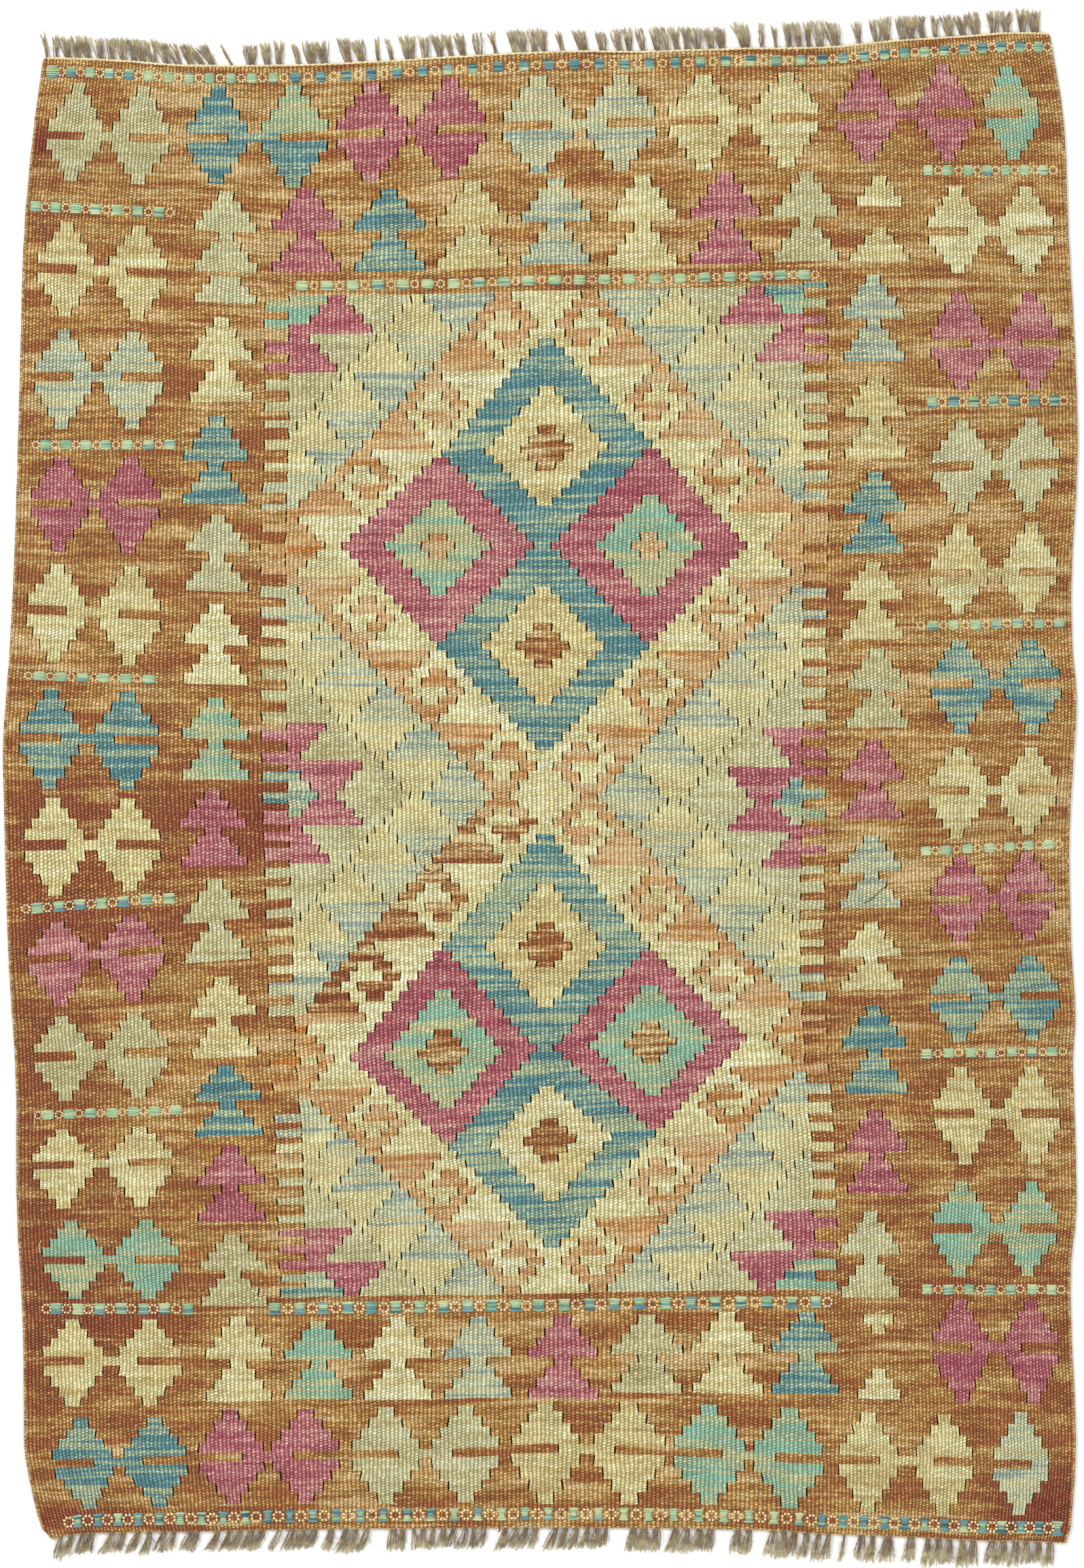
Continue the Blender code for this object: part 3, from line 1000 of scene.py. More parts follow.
# How each dye takes, and its painted highlight: streak length in ribs, streak height in beats, how much it
# varies, and how strongly the highlight pales its bead crowns.
UNEVENNESS_AND_HIGHLIGHT = {
    "ground": (24.0, 2.6, 1.5, 0.55),
    "cream": (18.0, 2.6, 0.60, 0.30),
    "straw": (18.0, 2.6, 0.45, 0.30),
    "sage": (18.0, 2.4, 0.50, 0.30),
    "ice": (28.0, 2.5, 1.5, 0.35),
    "blue": (34.0, 2.7, 2.4, 0.35),
    "turquoise": (30.0, 4.6, 2.8, 0.30),
    "magenta": (26.0, 2.8, 1.0, 0.40),
    "salmon": (20.0, 2.6, 1.1, 0.35),
    "rust": (20.0, 2.8, 1.6, 0.45),
    "arrow": (20.0, 2.6, 1.0, 0.40),
}
VARIATION = 2.6
# Single wefts that stand out: their length against the broad streaks, their height in beats, and both shares.
SINGLE_LENGTH, SINGLE_BEATS = 0.6, 0.9
BROAD_SHARE, SINGLE_SHARE = 0.66, 0.34
# How far apart in the noise skeins lie, and how the streaks sway up and down: noise scale and beats.
SKEIN_APART = 3.71
SWAY_SCALE, SWAY = 0.03, 2.5
# The blobs of the narrow ground: their own place in the noise, length in ribs and height in beats.
BLOB_APART, BLOB_RIBS, BLOB_BEATS = 77.7, 20.0, 6.5


def weft_beads(nodes):
    """Height of the weave from 0 to 1, a random number for each bead, and the place in ribs and in beats.

    Each weft goes over one warp and under the next, so it shows as a bead on every other rib. The beads on
    the ribs between are half a beat higher.
    """
    uv = nodes.add("UVMap", uv_map="weave").outputs["UV"]
    rib_place, beat_place, _ = nodes.parts(uv)
    stray = nodes.noise(uv, STRAY_SCALE, 2.0)
    rib = nodes.plus(rib_place, nodes.times(nodes.minus(stray, 0.5), STRAY_RIBS))
    slant = nodes.times(nodes.minus(0.5, nodes.math("FRACT", rib)), BEAD_SLANT)
    beat = nodes.plus(nodes.plus(beat_place, nodes.times(stray, STRAY_BEATS)), slant)
    across = nodes.math("PINGPONG", nodes.minus(rib, 0.5), 1.0)
    up = nodes.math("PINGPONG", beat, 0.5)
    fall = nodes.times_plus(nodes.noise(uv, BEAD_UP_SCALE, 1.0), BEAD_UP[1] - BEAD_UP[0], BEAD_UP[0])
    heights = []
    for from_rib, from_beat in ((across, up), (nodes.minus(1.0, across), nodes.minus(0.5, up))):
        fall_across = nodes.math("POWER", nodes.times(from_rib, BEAD_ACROSS), 2.0)
        fall_up = nodes.math("POWER", nodes.times(from_beat, fall), 2.0)
        heights.append(nodes.minus(nodes.minus(1.0, fall_across), fall_up))
    height = nodes.math("SQRT", nodes.math("MAXIMUM", nodes.math("MAXIMUM", *heights), 0.0))
    odd = nodes.times(nodes.math("MODULO", nodes.math("FLOOR", rib), 2.0), 0.5)
    number = nodes.combine(nodes.math("FLOOR", rib), nodes.math("ROUND", nodes.plus(beat, odd)))
    own = nodes.add("TexWhiteNoise", noise_dimensions="2D")
    nodes.put(own.inputs["Vector"], number)
    return height, own.outputs["Value"], rib_place, beat_place


def streaks(nodes, rib, beat, apart, long, high):
    """Uneven dye along the weft: broad bands, and single wefts that stand out."""
    def band(length, height):
        return nodes.combine(nodes.math("DIVIDE", rib, length), nodes.math("DIVIDE", beat, height), apart)
    broad = nodes.noise(band(long, high), 1.0, 1.0, 0.4)
    single = nodes.noise(band(long * SINGLE_LENGTH, SINGLE_BEATS), 1.0, 0.0)
    return nodes.plus(nodes.times(broad, BROAD_SHARE), nodes.times(single, SINGLE_SHARE))


def dyed_weave(name, dark, middle, light):
    """Weft-faced wool of one dye: uneven streaks along the weft, and round beads with painted shade between
    them and painted highlights on their crowns.
    """
    streak_ribs, streak_beats, varies, highlight_paling = UNEVENNESS_AND_HIGHLIGHT[name]
    nodes = Nodes("wool_" + name)
    height, own, rib, beat = weft_beads(nodes)
    apart = nodes.times(nodes.attribute("skein"), SKEIN_APART)
    sway = nodes.times(nodes.noise(nodes.combine(rib, beat), SWAY_SCALE, 1.0), SWAY)
    swayed = nodes.plus(beat, sway)
    streak = streaks(nodes, rib, swayed, apart, streak_ribs, streak_beats)
    if name == "ground":
        blob = streaks(nodes, rib, swayed, BLOB_APART, BLOB_RIBS, BLOB_BEATS)
        streak = nodes.plus(streak, nodes.times(nodes.minus(blob, streak), nodes.attribute("narrow")))
    level = nodes.times(nodes.minus(streak, 0.5), VARIATION * varies)
    if name in PATCHY_DYES:
        tone = nodes.attribute("tone")
        level = nodes.minus(level, tone)
    level = nodes.plus(level, nodes.attribute("lot"))
    level = nodes.plus(level, nodes.times(nodes.minus(own, 0.5), BEAD_LEVEL))
    level = nodes.plus(level, 0.5, clamp=True)
    colour = nodes.ramp(level, dark, middle, light)
    if name in PATCHY_DYES:
        deep = nodes.times(nodes.times(tone, WINE_GAIN, clamp=True), nodes.minus(1.0, level))
        colour = nodes.mix(deep, colour, WINE)
    # Painted highlight: the highest part of each bead is mixed towards a pale colour.
    crown_highlight = nodes.times(nodes.minus(height, HIGHLIGHT_FROM), HIGHLIGHT_GAIN, clamp=True)
    pale = nodes.times(crown_highlight, nodes.times(nodes.plus(own, HIGHLIGHT_LEAST), highlight_paling))
    pale = nodes.times(pale, nodes.math("MINIMUM", nodes.times_plus(level, *HIGHLIGHT_BY_LEVEL), HIGHLIGHT_MOST))
    colour = nodes.mix(pale, colour, MADDER_HIGHLIGHT_COLOUR if name in MADDER_DYES else HIGHLIGHT_COLOUR)
    # Painted shade: the colour is darkened and browned where the weave is low, between the beads.
    colour = nodes.mix(1.0, colour, nodes.mix(height, GAP_SHADE, (1.0, 1.0, 1.0)), "MULTIPLY")
    colour = nodes.shaded(colour, nodes.times_plus(own, BEAD_DEPTH, 1.0 - BEAD_DEPTH / 2))
    return nodes.finish(colour, height, BEAD_BUMP, WEAVE_ROUGH, WEAVE_SHEEN)


FIBRE_BUMP = 0.0003
FIBRES_UP = 900.0
# Yarn: the scale of its slow changes of colour, shares of fibre and slow change, and how much they vary.
SLOW_SCALE = 55.0
FIBRE_SHARE, SLOW_SHARE = 0.6, 0.4
YARN_VARIATION = 2.4


def spun_wool(name, dark, light, fibre_scale, sheen=YARN_SHEEN, shine=0.2):
    """Loose or wrapped yarn: fine fibres and a slow change of colour, on object coordinates."""
    nodes = Nodes(name)
    place = nodes.add("TexCoord").outputs["Object"]
    fibre = nodes.fibres(place, (*fibre_scale, FIBRES_UP))
    slow = nodes.noise(place, SLOW_SCALE, 1.0)
    both = nodes.plus(nodes.times(fibre, FIBRE_SHARE), nodes.times(slow, SLOW_SHARE))
    level = nodes.times_plus(nodes.minus(both, 0.5), YARN_VARIATION, 0.5, clamp=True)
    return nodes.finish(nodes.ramp(level, dark, light), fibre, FIBRE_BUMP, YARN_ROUGH, sheen, shine)


# Fringe: where its usual tip is, in millimetres, the scale of its fibres along x, y and z, that of its slow
# changes and how much these vary, and how strongly fibres darken or lighten it: gain and least.
USUAL_FRINGE = 20.0
WARP_FIBRES = (1500.0, 150.0, 1200.0)
WARP_SLOW_SCALE = 130.0
WARP_VARIATION = 1.6
WARP_LIGHT = (1.5, 0.2)


def warp_wool(name, root, middle, tip):
    """Fringe yarn: greyer at the root, paler and yellower at the frayed tip, with dark and light fibres."""
    nodes = Nodes(name)
    place = nodes.add("TexCoord").outputs["Object"]
    fibre = nodes.fibres(place, WARP_FIBRES)
    slow = nodes.minus(nodes.noise(place, WARP_SLOW_SCALE, 1.0), 0.5)
    level = nodes.times_plus(slow, WARP_VARIATION, nodes.attribute("reach"), clamp=True)
    colour = nodes.ramp(level, root, middle, tip)
    colour = nodes.shaded(colour, nodes.times_plus(fibre, *WARP_LIGHT))
    return nodes.finish(colour, fibre, FIBRE_BUMP, FRINGE_ROUGH, YARN_SHEEN)


# --------------------------------------------------------------------------------------------------
# Settings shown in the sidebar
# --------------------------------------------------------------------------------------------------


# Each dye's label and wool, and its dark, middle and light shade as display colours from 0 to 255.
DYE_SHADES = {
    "ground": ("Ground", "madder ground", (150, 86, 43), (172, 128, 61), (206, 179, 130)),
    "cream": ("Cream", "undyed cream", (193, 166, 106), (214, 206, 147), (236, 238, 205)),
    "straw": ("Straw", "yellow cream", (186, 171, 108), (214, 204, 147), (207, 215, 170)),
    "sage": ("Sage", "sage", (170, 157, 107), (197, 193, 145), (208, 216, 182)),
    "ice": ("Ice blue", "pale blue", (149, 167, 156), (194, 203, 167), (200, 193, 145)),
    "blue": ("Blue", "blue", (77, 132, 141), (115, 155, 147), (167, 183, 146)),
    "turquoise": ("Turquoise", "turquoise", (139, 186, 162), (153, 182, 147), (187, 189, 141)),
    "magenta": ("Magenta", "magenta", (157, 66, 87), (177, 93, 105), (201, 145, 142)),
    "salmon": ("Salmon", "salmon", (188, 130, 70), (206, 169, 118), (208, 192, 150)),
    "rust": ("Rust", "rust", (139, 75, 34), (173, 126, 70), (216, 201, 151)),
    "arrow": ("Amber", "amber", (190, 116, 31), (205, 171, 119), (205, 178, 137)),
}
SHADES = (
    ("dark", "{}, dark", "Darkest streaks of the {}"),
    ("middle", "{}", "Usual colour of the {}"),
    ("light", "{}, light", "Lightest streaks of the {}"),
)


def dye_settings():
    """A colour setting for each shade of each dye."""
    settings = {}
    for dye, (label, wool, *colours) in DYE_SHADES.items():
        for (shade, title, meaning), colour in zip(SHADES, colours):
            settings[f"{dye}_{shade}"] = bpy.props.FloatVectorProperty(
                name=title.format(label), description=meaning.format(wool), subtype="COLOR",
                size=3, min=0.0, max=1.0, default=linear(*colour),
            )
    return settings


def size_setting(name, description, default):
    return bpy.props.FloatProperty(
        name=name, description=description, default=default, subtype="DISTANCE", unit="LENGTH",
    )


class KilimCloth(bpy.types.PropertyGroup):
    """Sizes of the cloth."""

    thickness: size_setting("Thickness", "Thickness of the woven cloth", 0.0022)
    slit_width: size_setting("Slit width", "Widest opening of a slit between two colours", 0.0014)
    selvedge_radius: size_setting("Selvedge radius", "Radius of the corded side edges", 0.0015)
    yarn_radius: size_setting("Fringe yarn radius", "Radius of one ply of the fringe yarn", 0.00031)


class KilimDyes(bpy.types.PropertyGroup):
    """Three shades of each dye, from its darkest streak to its lightest."""

    __annotations__ = dye_settings()


# --------------------------------------------------------------------------------------------------
# Shared making
# --------------------------------------------------------------------------------------------------


def deselect():
    if bpy.context.object and bpy.context.object.mode != "OBJECT":
        bpy.ops.object.mode_set(mode="OBJECT")
    bpy.ops.object.select_all(action="DESELECT")


def wear(piece, *materials):
    for material in materials:
        piece.data.materials.append(material)


def belongs(piece, slot, *nodes):
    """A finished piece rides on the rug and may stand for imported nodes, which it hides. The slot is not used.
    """
    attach(piece, "root")
    if nodes:
        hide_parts(*nodes)


def smooth(piece):
    piece.data.polygons.foreach_set("use_smooth", np.ones(len(piece.data.polygons), bool))


def yarns(name, strands, radius, sides=1):
    """Round strands as one piece. A strand is its points, each with a share of the radius, and its slot."""
    deselect()
    curve = bpy.data.curves.new(name, "CURVE")
    curve.dimensions = "3D"
    curve.bevel_depth = radius
    curve.bevel_resolution = sides
    curve.use_fill_caps = True
    for points, material in strands:
        spline = curve.splines.new("POLY")
        spline.points.add(len(points) - 1)
        for point, (x, y, z, share) in zip(spline.points, points):
            point.co = (x * MM, y * MM, z * MM, 1.0)
            point.radius = share
        spline.material_index = material
        spline.use_smooth = True
    piece = bpy.data.objects.new(name, curve)
    bpy.context.scene.collection.objects.link(piece)
    piece.select_set(True)
    bpy.context.view_layer.objects.active = piece
    bpy.ops.object.convert(target="MESH")
    return bpy.context.object


def surface_height(x, y):
    return lift(x, y) + bpy.context.scene.kilim_cloth.thickness / MM


# --------------------------------------------------------------------------------------------------
# Wrapped lines
# --------------------------------------------------------------------------------------------------

# Name, first rib, last rib, level, number of dashes, side of a dash that its ring of knots is on, height of a
# dash, how much it is drawn in at its middle, dyes of the upper and lower float.
WRAPPED_LINES = (
    ("line_far", -129.8, 130.9, 591, 45, 1, 8.0, 0.0, "teal", "teal"),
    ("line_near", -122.1, 131.1, -594.5, 45, -1, 10.0, 0.4, "teal", "teal"),
    ("line_field_far", -58.8, 62.3, 414, 21, 1, 7.6, 0.0, "pale", "leaf"),
    ("line_field_near", -69.0, 62.2, -424, 23, 1, 9.4, 0.25, "leaf", "teal"),
    ("line_left_1", -130.3, -89.9, 471, 7, 1, 8.0, 0.1, "leaf", "leaf"),
    ("line_left_2", -125.2, -86.2, 284, 7, -1, 7.4, 0.0, "leaf", "leaf"),
    ("line_left_3", -124.4, -89.8, 84.5, 6, -1, 7.2, 0.0, "pale", "leaf"),
    ("line_left_4", -124.9, -85.4, -83.5, 7, -1, 8.4, 0.2, "leaf", "teal"),
    ("line_left_5", -124.4, -85.7, -249, 7, -1, 7.4, 0.0, "pale", "leaf"),
    ("line_left_6", -123.8, -84.5, -424, 7, -1, 8.8, 0.2, "leaf", "teal"),
    ("line_right_1", 89.6, 128.3, 498, 7, 1, 7.8, 0.0, "pale", "leaf"),
    ("line_right_2", 89.0, 128.6, 308, 7, 1, 8.0, 0.1, "teal", "teal"),
    ("line_right_3", 89.9, 131.6, 129.5, 7, -1, 7.4, 0.0, "leaf", "leaf"),
    ("line_right_4", 88.6, 129.3, -53.5, 7, 1, 7.2, 0.0, "pale", "pale"),
    ("line_right_5", 88.1, 129.2, -231.5, 7, 1, 7.4, 0.1, "pale", "leaf"),
    ("line_right_6", 86.7, 129.4, -414.5, 7, 1, 7.8, 0.1, "leaf", "leaf"),
)
# Stretches of a line with other dyes. Name, first and last dash, dyes of the upper and lower float.
FLOAT_CHANGES = (
    ("line_far", 0, 4, "leaf", "teal"), ("line_far", 5, 11, "leaf", "leaf"),
    ("line_far", 29, 44, "teal", "leaf"), ("line_near", 14, 18, "teal", "leaf"),
    ("line_near", 19, 31, "pale", "leaf"),
)
# Dashes that are bigger than their neighbours, by line and number.
BIG_DASHES = {("line_far", 0): 1.3, ("line_near", 44): 1.2}
# Floats: share of the pitch that one covers, its thickness in millimetres, its strands and how much these
# overlap, the length of an outer strand, and how many millimetres higher it lies.
FLOAT_SHARE = 0.58
FLOAT_HEIGHT = 2.4
FLOAT_STRANDS = 3
STRAND_OVERLAP = 1.25
OUTER_STRAND = 0.9
OUTER_RISE = 0.15
# How often a float is wrapped in a paler yarn, how far strands turn in radians, and how long they are.
PALER_FLOATS = 0.15
STRAND_TURN = 0.05
STRAND_LENGTH = (0.94, 1.04)
STRAND_BLUNT = 0.55
# The dyes next to each dye, from which single strands of a float are taken. The deep teal strands are painted
# shade lines between the strands.
NEAR_DYES = {
    "leaf": ("leaf", "leaf", "leaf", "pale", "pale", "teal"),
    "teal": ("teal", "teal", "teal", "deep", "leaf"),
    "pale": ("pale", "pale", "leaf"),
}
WRAP_DYES = ("leaf", "teal", "pale", "deep", "cream", "madder")
KNOT_DYES = ("cream", "madder")
# Ring flowers: knots round the middle one, the ring's radius against the height of a dash, a knot's size in
# millimetres on a dash of the usual height, its narrowing away from the middle, and its flat underside.
KNOTS = 8
KNOT_RING = 0.385
KNOT_SIZE = (2.3, 2.2, 1.8)
USUAL_DASH = 9.0
KNOT_TAPER = 0.35
KNOT_BELOW = -0.3
KNOT_SINK = 0.1
# Ribs on each side of a dash that show which way the line runs there.
LINE_REACH = 4


def model_float():
    """One strand of a wrapped float, a millimetre long and wide, with blunt ends."""
    deselect()
    bpy.ops.mesh.primitive_uv_sphere_add(segments=8, ring_count=7, radius=0.5, rotation=(0, math.pi / 2, 0))
    strand = bpy.context.object
    bpy.ops.object.transform_apply(location=True, rotation=True, scale=True)
    for vertex in strand.data.vertices:
        vertex.co.x = math.copysign(0.5 * (abs(vertex.co.x) * 2) ** STRAND_BLUNT, vertex.co.x)
    return strand


def model_knot():
    """One small knot of the ring flowers, a millimetre across: narrower outwards, and flat below."""
    deselect()
    bpy.ops.mesh.primitive_ico_sphere_add(subdivisions=1, radius=0.5)
    knot = bpy.context.object
    for vertex in knot.data.vertices:
        vertex.co.y *= 1.0 - KNOT_TAPER * vertex.co.x
        vertex.co.z = max(vertex.co.z, KNOT_BELOW)
    return knot


def stamp(shape, size, places):
    """Vertices and faces of copies of a shape. A place is x, y, z, a turn and a share of the length."""
    base = np.array([v.co for v in shape.data.vertices]) * size
    faces = [tuple(p.vertices) for p in shape.data.polygons]
    vertices, polygons = [], []
    for x, y, z, turn, share in places:
        c, s = math.cos(turn), math.sin(turn)
        long, wide = base[:, 0] * share, base[:, 1]
        moved = np.column_stack((long * c - wide * s + x, long * s + wide * c + y, base[:, 2] + z))
        start = len(vertices)
        vertices += (moved * MM).tolist()
        polygons += [tuple(start + v for v in face) for face in faces]
    return vertices, polygons


def ring_of_knots(x, y, turn, radius):
    """Places of the knots of one ring flower."""
    places = []
    for n in range(KNOTS):
        angle = turn + 2 * math.pi * (n + 0.5) / KNOTS
        xk, yk = x + radius * math.cos(angle), y + radius * math.sin(angle)
        places.append((xk, yk, float(surface_height(xk, yk)) - KNOT_SINK, angle, 1.0))
    return places


def float_strands(draw, x, y, z, turn, height, waist, upper, lower):
    """Dye and place of each strand of one dash: two floats, drawn in where they meet on some lines."""
    width = height / (2 * FLOAT_STRANDS)
    for half, dye in ((1, upper), (-1, lower)):
        if draw.random() < PALER_FLOATS:
            dye = "leaf" if dye == "teal" else "pale"
        for k in range(FLOAT_STRANDS):
            offset = half * (k + 0.5) * width
            inner = 1 - k / (FLOAT_STRANDS - 1)
            share = (1 - waist * inner) * (OUTER_STRAND if inner == 0 and not waist else 1.0)
            place = (x - math.sin(turn) * offset, y + math.cos(turn) * offset, z + OUTER_RISE * (1 - inner))
            strand_dye = draw.choice(NEAR_DYES[dye])
            strand_turn = turn + draw.uniform(-STRAND_TURN, STRAND_TURN)
            yield strand_dye, (*place, strand_turn, share * draw.uniform(*STRAND_LENGTH))


def floats_at(line, dash, upper, lower):
    """Dyes of the upper and lower float of one dash."""
    for name, first, last, new_upper, new_lower in FLOAT_CHANGES:
        if name == line and first <= dash <= last:
            return new_upper, new_lower
    return upper, lower


def wrapped_line(row, strand, knot, materials):
    """Pairs of wrapped floats with a ring of small knots between one pair and the next."""
    name, first, last, level, dashes, ring_side, height, waist, upper, lower = row
    draw = random.Random(name)
    pitch = (last - first) / dashes
    groups = {key: [] for key in WRAP_DYES}
    for k in range(dashes):
        rib = first + (k + 0.5) * pitch
        ribs = np.array([rib - LINE_REACH, rib, rib + LINE_REACH])
        (x0, x1, x2), (y0, y1, y2) = loom_to_floor(ribs, np.full(3, float(level)))
        turn = math.atan2(y2 - y0, x2 - x0)
        length = pitch * (x2 - x0) / (2 * LINE_REACH)
        z = float(surface_height(x1, y1))
        big = BIG_DASHES.get((name, k), 1.0)
        dyes = floats_at(name, k, upper, lower)
        for dye, (*place, share) in float_strands(draw, x1, y1, z, turn, height * big, waist, *dyes):
            groups[dye].append((*place, share * big))
        xf, yf = (float(v) for v in loom_to_floor(rib + ring_side * pitch / 2, float(level)))
        groups["madder"].append((xf, yf, z, turn, 1.0))
        groups["cream"] += ring_of_knots(xf, yf, turn, KNOT_RING * height)
    knot_size = np.array(KNOT_SIZE) * height / USUAL_DASH
    strand_width = height / (2 * FLOAT_STRANDS) * STRAND_OVERLAP
    strand_size = np.array([length * FLOAT_SHARE, strand_width, FLOAT_HEIGHT])
    vertices, polygons, slots = [], [], []
    for index, key in enumerate(WRAP_DYES):
        shape, size = (knot, knot_size) if key in KNOT_DYES else (strand, strand_size)
        stamped, faces = stamp(shape, size, groups[key])
        start = len(vertices)
        vertices += stamped
        polygons += [tuple(start + v for v in face) for face in faces]
        slots += [index] * len(faces)
    piece = new_piece(name, vertices, polygons)
    piece.data.polygons.foreach_set("material_index", slots)
    wear(piece, *(materials[key] for key in WRAP_DYES))
    smooth(piece)
    belongs(piece, "kilim_wool")


# --------------------------------------------------------------------------------------------------
# Ends, selvedges and fringe
# --------------------------------------------------------------------------------------------------

# The fringe, bundle by bundle: root from x, root to x, lean of the tips along x, length.
FAR_FRINGE = (
    (-404, -400, -5, 23), (-399, -392, -1, 21), (-390, -365, -4, 20), (-364, -346, -3, 20),
    (-345, -311, -4, 21), (-310, -280, -8, 19), (-279, -262, -16, 17), (-252, -249, -10, 18),
    (-242, -231, -1, 20), (-227, -208, -2, 21), (-200, -194, -5, 19), (-192, -171, -3, 20),
    (-162, -141, -4, 21), (-135, -130, -4, 21), (-124, -119, -6, 21), (-113, -100, -3, 22),
    (-97, -89, -3, 21), (-86, -58, -5, 20), (-53, -46, -2, 21), (-39, -33, -4, 21),
    (-25, 8, -4, 20), (16, 21, -3, 19), (30, 42, -5, 19), (46, 55, -3, 19),
    (61, 76, -3, 21), (81, 88, -3, 21), (92, 124, -4, 21), (125, 153, -4, 20),
    (161, 174, -5, 22), (179, 184, -2, 21), (191, 195, -3, 21), (200, 232, -3, 23),
    (236, 249, -4, 23), (258, 265, -3, 21), (271, 288, -2, 21), (291, 317, -2, 21),
    (321, 327, -2, 21), (330, 361, -2, 20), (366, 386, -1, 19), (389, 410, -1, 21),
)
NEAR_FRINGE = (
    (-394, -388, -5, 21), (-386, -361, -7, 19), (-354, -334, -8, 18), (-331, -314, -7, 19),
    (-311, -294, -7, 18), (-290, -275, -7, 18), (-266, -222, -8, 18), (-215, -210, -8, 18),
    (-206, -178, -8, 18), (-175, -167, -8, 19), (-161, -138, -8, 21), (-124, -108, -2, 20),
    (-106, -102, 2, 19), (-99, -75, -4, 18), (-73, -41, -5, 18), (-31, 2, -8, 19),
    (9, 34, -7, 19), (36, 59, -5, 18), (72, 100, -3, 20), (106, 145, -5, 21),
    (158, 175, -4, 22), (186, 223, -4, 23), (225, 240, -4, 23), (247, 252, -4, 23),
    (259, 276, -3, 23), (278, 291, -2, 23), (299, 309, -2, 23), (313, 330, -3, 24),
    (331, 359, -2, 23), (366, 421, -3, 21),
)
# Tufts: millimetres from one to the next, their width at root and tip against that, and how unlike they are
# in place, lean and length.
TUFT = 9.0
TUFT_ROOT = 0.42
TUFT_TIP = 1.12
TUFT_ASIDE = 0.6
TUFT_LEAN = (0.7, 1.2)
TUFT_LEANING = 1.0
TUFT_LENGTH = (0.92, 1.04)
# Yarns: millimetres from one to the next, how far root and tip stray, their length against the tuft's, and
# how far under the cloth they start.
YARN_PITCH = 0.98
YARN_STEPS = 7
ROOT_ASIDE, TIP_ASIDE = 0.25, 1.3
YARN_LENGTH = (0.86, 1.04)
YARN_UNDER = 2.0
# A yarn's bow sideways, its rise off the floor, the wave in it, and the heights of its tip and root.
YARN_BOW = 1.3
YARN_RISE = (0.3, 2.2)
RISE_SHARE = 0.7
YARN_WAVE = 0.3
TIP_HEIGHT, ROOT_HEIGHT = 0.6, 1.3
# Two plies make a yarn: millimetres for one turn, from its middle line to a ply, how it opens and thins.
PLY_TURN = 5.0
PLY_SPREAD = 0.27
OPENS_FROM, OPENS = 0.55, 2.2
THINS_FROM, THINS = 0.7, 2.0
PLY_LOWEST = 0.35
# Stray fibres: how many at a yarn, aim in radians, length, curl, share of a ply's radius and taper.
STRAYS = 2
STRAY_STEPS = 3
STRAY_AIM = (-0.7, 0.6)
STRAY_REACH = (4.0, 8.5)
STRAY_CURL = 1.5
STRAY_LOWEST = 0.3
STRAY_THICK, STRAY_TAPER = 0.42, 0.2
# Odds of grey, pale and dark warps, over most of a tuft and along its right side, where more dark warps are
# painted shade, and where that side starts.
TINTS = (0, 1, 2)
USUAL_ODDS, SHADED_SIDE_ODDS = (6, 3, 2), (5, 1, 6)
SHADED_SIDE_FROM = 0.2
STRAY_TINTS = (0, 0, 1, 2)


def yarn_path(draw, root_x, tip_x, root_y, tip_y):
    """The middle line of one fringe yarn: out from under the cloth's edge and down onto the floor."""
    bow = draw.uniform(-YARN_BOW, YARN_BOW)
    rise = draw.uniform(*YARN_RISE)
    path = []
    for k in range(YARN_STEPS + 1):
        t = k / YARN_STEPS
        swerve = bow * math.sin(math.pi * t) + YARN_WAVE * math.sin(6 * t + bow * 5)
        x = root_x + (tip_x - root_x) * t ** 1.2 + swerve
        y = root_y + (tip_y - root_y) * t
        z = ROOT_HEIGHT * (1 - t) + TIP_HEIGHT + rise * math.sin(math.pi * min(1, t * 1.1)) * RISE_SHARE
        path.append((x, y, z))
    return path


def plies(draw, path):
    """Two plies twisted round a middle line, opening a little at the tip."""
    phase = draw.uniform(0, 2 * math.pi)
    strands = []
    total = sum(math.dist(a, b) for a, b in zip(path, path[1:]))
    for ply in (0, 1):
        points = []
        for k, (x, y, z) in enumerate(path):
            t = k / (len(path) - 1)
            turn = phase + ply * math.pi + 2 * math.pi * total * t / PLY_TURN
            apart = PLY_SPREAD * (1 + OPENS * max(0, t - OPENS_FROM))
            share = 1.0 if t < THINS_FROM else 1.0 - THINS * (t - THINS_FROM)
            points.append((x + math.cos(turn) * apart, y, max(PLY_LOWEST, z + math.sin(turn) * apart), share))
        strands.append(points)
    return strands


def stray_fibre(draw, path, outward):
    """A thin fibre that has come loose towards the tip of a yarn."""
    x, y, z = path[draw.randrange(2, YARN_STEPS - 1)]
    aim = draw.uniform(*STRAY_AIM)
    reach = draw.uniform(*STRAY_REACH)
    points = []
    for k in range(STRAY_STEPS + 1):
        t = k / STRAY_STEPS
        aside = reach * t * math.sin(aim) + t * t * aim * STRAY_CURL
        out = outward * reach * t * math.cos(aim)
        low = max(STRAY_LOWEST, z * (1 - 0.5 * t))
        points.append((x + aside, y + out, low, STRAY_THICK - STRAY_TAPER * t))
    return points


